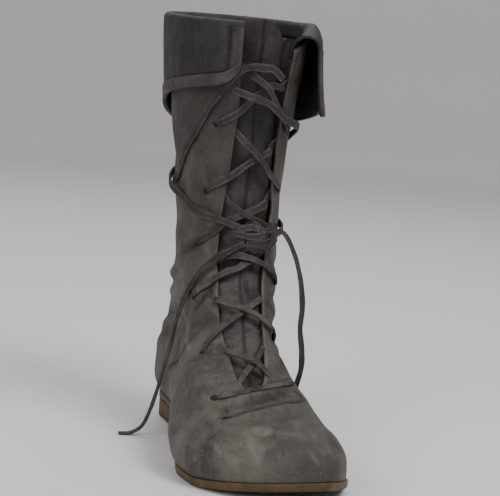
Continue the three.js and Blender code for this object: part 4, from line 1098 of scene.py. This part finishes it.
# Eyelets: plain holes punched through the upper. Each is a small pit in the leather round the lace,
# coloured near black as painted shade inside the hole.
pit_shadow_finish = bpy.data.materials.new("eyelet_pit_painted_shadow")
pit_shadow_finish.use_nodes = True
pit_shadow_shader = pit_shadow_finish.node_tree.nodes["Principled BSDF"]
pit_shadow_shader.inputs["Base Color"].default_value = (0.006, 0.005, 0.005, 1)
pit_shadow_shader.inputs["Roughness"].default_value = 0.9
pit_depth = 0.0012
pit_stands = 0.0003
wide_pit, narrow_pit = 0.003, 0.0024
vamp_section = 8
pit_sides = 24
pit_points, pit_faces = [], []
for turn, section in lateral_eyelets + medial_eyelets:
    pit_radius = wide_pit if section < vamp_section else narrow_pit
    middle = on_leather(turn, section, pit_stands)
    facing = form_facing(turn, section)
    side = np.cross(facing, [0, 0, 1])
    side /= np.linalg.norm(side)
    up = np.cross(side, facing)
    angle = np.linspace(0, 2 * np.pi, pit_sides + 1)[:-1, None]
    ring = middle + pit_radius * (np.cos(angle) * side + np.sin(angle) * up)
    top = np.arange(pit_sides) + sum(len(group) for group in pit_points)
    low = top + pit_sides
    pit_points.append(np.vstack([ring, ring - facing * pit_depth]))
    pit_faces += [top.tolist(), low[::-1].tolist()]
    pit_faces += np.stack([top, low, np.roll(low, -1), np.roll(top, -1)], -1).tolist()
add_piece("eyelet_pits_shadowed", np.vstack(pit_points), pit_faces, [], pit_shadow_finish)

# Outsole: one layer of tan sole leather, cut to the foot's outline, with a flat tread, an arch and
# toe spring. Its edge is trimmed square, worn and slightly rounded.
sole_finish = leather_finish(
    "sole_leather_finish",
    dark=(0.043, 0.024, 0.009), light=(0.08, 0.044, 0.0155), worn=(0.135, 0.08, 0.032),
    roughness=0.55, grain=0.25, patch_size=0.02,
)


def outline(margin, count, first=0.0, last=sole_length):
    """The sole's edge from its inner side round, taken in by a margin: stations along it, and points."""
    start, end = [math.acos(1 - 2 * along / sole_length) for along in (first, last)]
    angle = np.linspace(start, end, count)
    along = sole_length * (1 - np.cos(angle)) / 2
    sides = []
    for side in (1, -1):
        x = ball_width * swing_share(along / sole_length) + side * sole_half(along, side)
        edge = np.stack([x, heel_middle - along], -1)
        step = np.gradient(edge, axis=0)
        step[0] = [side, 0] if first == 0 else step[0]
        step[-1] = [-side, 0] if last == sole_length else step[-1]
        step /= np.linalg.norm(step, axis=1, keepdims=True)
        sides.append(edge + side * np.stack([step[:, 1], -step[:, 0]], -1) * margin)
    return sides


def sole_slab(name, rings, count, first, last, replaced, finish):
    """A slab from rings of (margin, height at a place along): each joins the next, and the first and
    last are closed across."""
    points, ids = [], []
    for margin, height in rings:
        inner, outer = outline(margin, count, first, last)
        ring = np.vstack([inner, outer[::-1]])
        z = height(np.clip(heel_middle - ring[:, 1], 0, sole_length))
        ids.append(np.arange(len(ring)) + len(points) * len(ring))
        points.append(np.column_stack([ring, z]))
    faces = []
    for lower, upper_ring in zip(ids, ids[1:]):
        after_low, after_up = np.roll(lower, -1), np.roll(upper_ring, -1)
        faces += np.stack([lower, upper_ring, after_up, after_low], -1).tolist()
    for ring, flip in ((ids[0], False), (ids[-1], True)):
        inner, outer = ring[:count], ring[count:][::-1]
        strip = np.stack([inner[:-1], inner[1:], outer[1:], outer[:-1]], -1)
        faces += (strip[:, ::-1] if flip else strip).tolist()
    return add_piece(name, np.vstack(points), faces, replaced, finish)


def sole_bottom(along):
    """The height of the sole's lower face."""
    return sole_top(along) - sole_thickness


def over_sole(height):
    """A ring that follows the sole's upper face at a height over it."""
    return lambda along: sole_top(along) + height


sole_rings = [
    (0.003, sole_top),
    (0.0006, sole_top),
    (0.0001, over_sole(-0.0006)),
    (0.0, over_sole(-0.002)),
    (0.0, over_sole(-0.004)),
    (0.0004, over_sole(0.0008 - sole_thickness)),
    (0.0014, over_sole(0.0001 - sole_thickness)),
    (0.004, sole_bottom),
]
outsole = sole_slab(
    "outsole_leather", sole_rings, 150, 0, sole_length, ["outsole"], sole_finish
)
paint_wear_and_shade(outsole, 0.5, 0)

# Heel: lifts of sole leather glued and pegged into a low block under the back of the sole, and the top
# piece under them, rounded by wear. The breast is cut square.
heel_length = 0.093
top_piece_height = 0.004
piece_gap = 0.0003
stack_foot = top_piece_height + piece_gap


def flat_at(height):
    """A ring of the heel that lies flat."""
    return lambda along: np.full_like(along, height)


def heel_level(share):
    """A ring of the heel between its foot and the sole."""
    return lambda along: stack_foot + (sole_bottom(along) - piece_gap - stack_foot) * share


# three lifts, with a groove at each joint
lift_side, lift_groove = 0.0006, 0.0011
stack_rings = [(0.004, flat_at(stack_foot)), (0.0008, flat_at(stack_foot))]
stack_rings.append((lift_side, heel_level(0.02)))
for joint in (0.33, 0.66):
    stack_rings.append((lift_side, heel_level(joint - 0.03)))
    stack_rings.append((lift_groove, heel_level(joint)))
    stack_rings.append((lift_side, heel_level(joint + 0.03)))
stack_rings.append((lift_side, heel_level(0.98)))
stack_rings += [(0.0008, heel_level(1)), (0.004, heel_level(1))]
heel_stack = sole_slab(
    "heel_stack_leather", stack_rings, 90, 0, heel_length, ["heel_stack"], sole_finish
)
paint_wear_and_shade(heel_stack, 0.4, 0)
top_rings = [
    (0.006, flat_at(0)),
    (0.0022, flat_at(0)),
    (0.0011, flat_at(0.0007)),
    (0.0006, flat_at(0.002)),
    (0.0006, flat_at(0.0034)),
    (0.0012, flat_at(top_piece_height)),
    (0.004, flat_at(top_piece_height)),
]
top_piece = sole_slab(
    "heel_top_piece_leather", top_rings, 90, 0, heel_length, ["heel_top_piece"], sole_finish
)
# a quarter painted shade over the whole top piece
paint_wear_and_shade(top_piece, 0.2, 0.25)

# Insole: a thin sock of pale leather, cut to the last's sole and laid on the outsole inside the upper,
# where the foot stands on it.
insole_finish = leather_finish(
    "insole_leather_finish",
    dark=(0.1, 0.065, 0.04), light=(0.15, 0.1, 0.062), worn=(0.2, 0.14, 0.09),
    roughness=0.75, grain=0.2, patch_size=0.03,
)
insole_clearance = 0.0009
insole_margin = sole_margin + leather + insole_clearance
insole_thickness = 0.0025
insole_rings = [
    (insole_margin + 0.002, over_sole(piece_gap)),
    (insole_margin, over_sole(piece_gap)),
    (insole_margin, over_sole(piece_gap + insole_thickness)),
    (insole_margin + 0.002, over_sole(piece_gap + insole_thickness)),
]
insole = sole_slab(
    "insole_leather", insole_rings, 120, 0, sole_length, ["insole"], insole_finish
)
paint_wear_and_shade(insole, 0.3, 0)

# Floor and light: a pale seamless floor that curves up all round far from the boot, and three soft
# studio lamps.
floor_profile = smooth_line([(0.5, 0), (2.2, 0), (2.7, 0.04), (3.1, 0.25), (3.3, 0.7), (3.4, 2.4)], 6)
floor_points, floor_faces = [(0, 0, 0)], []
floor_sides = 72
for radius, height in floor_profile:
    for side in range(floor_sides):
        angle = 2 * math.pi * side / floor_sides
        floor_points.append((radius * math.cos(angle), radius * math.sin(angle), max(height, 0)))
for side in range(floor_sides):
    after = (side + 1) % floor_sides
    floor_faces.append([0, 1 + side, 1 + after])
    for ring in range(len(floor_profile) - 1):
        low = 1 + ring * floor_sides
        floor_faces.append([low + side, low + floor_sides + side, low + floor_sides + after, low + after])
floor_mesh = bpy.data.meshes.new("floor")
floor_mesh.from_pydata(floor_points, [], floor_faces)
floor_mesh.polygons.foreach_set("use_smooth", [True] * len(floor_mesh.polygons))
floor = bpy.data.objects.new("floor", floor_mesh)
bpy.context.scene.collection.objects.link(floor)
floor_paint = bpy.data.materials.new("floor_paint")
floor_paint.use_nodes = True
floor_shader = floor_paint.node_tree.nodes["Principled BSDF"]
floor_shader.inputs["Base Color"].default_value = (0.7, 0.685, 0.695, 1)
floor_shader.inputs["Roughness"].default_value = 0.9
floor_mesh.materials.append(floor_paint)


lit_place = Vector((0, -0.05, 0.12))


def lamp(name, place, size, power):
    """A soft square lamp that looks at the boot."""
    data = bpy.data.lights.new(name, "AREA")
    data.size = size
    data.energy = power
    lamp_object = bpy.data.objects.new(name, data)
    lamp_object.location = place
    aim = lit_place - Vector(place)
    lamp_object.rotation_euler = aim.to_track_quat("-Z", "Y").to_euler()
    bpy.context.scene.collection.objects.link(lamp_object)


lamp("key_lamp", (0.55, -1.25, 1.75), 0.9, 30)
lamp("fill_lamp", (-1.5, -1.0, 1.1), 1.2, 15)
lamp("back_lamp", (0.2, 1.0, 1.7), 1.2, 12)
world = bpy.data.worlds.new("studio")
world.use_nodes = True
world.node_tree.nodes["Background"].inputs["Color"].default_value = (0.8, 0.785, 0.77, 1)
world.node_tree.nodes["Background"].inputs["Strength"].default_value = 0.6
bpy.context.scene.world = world
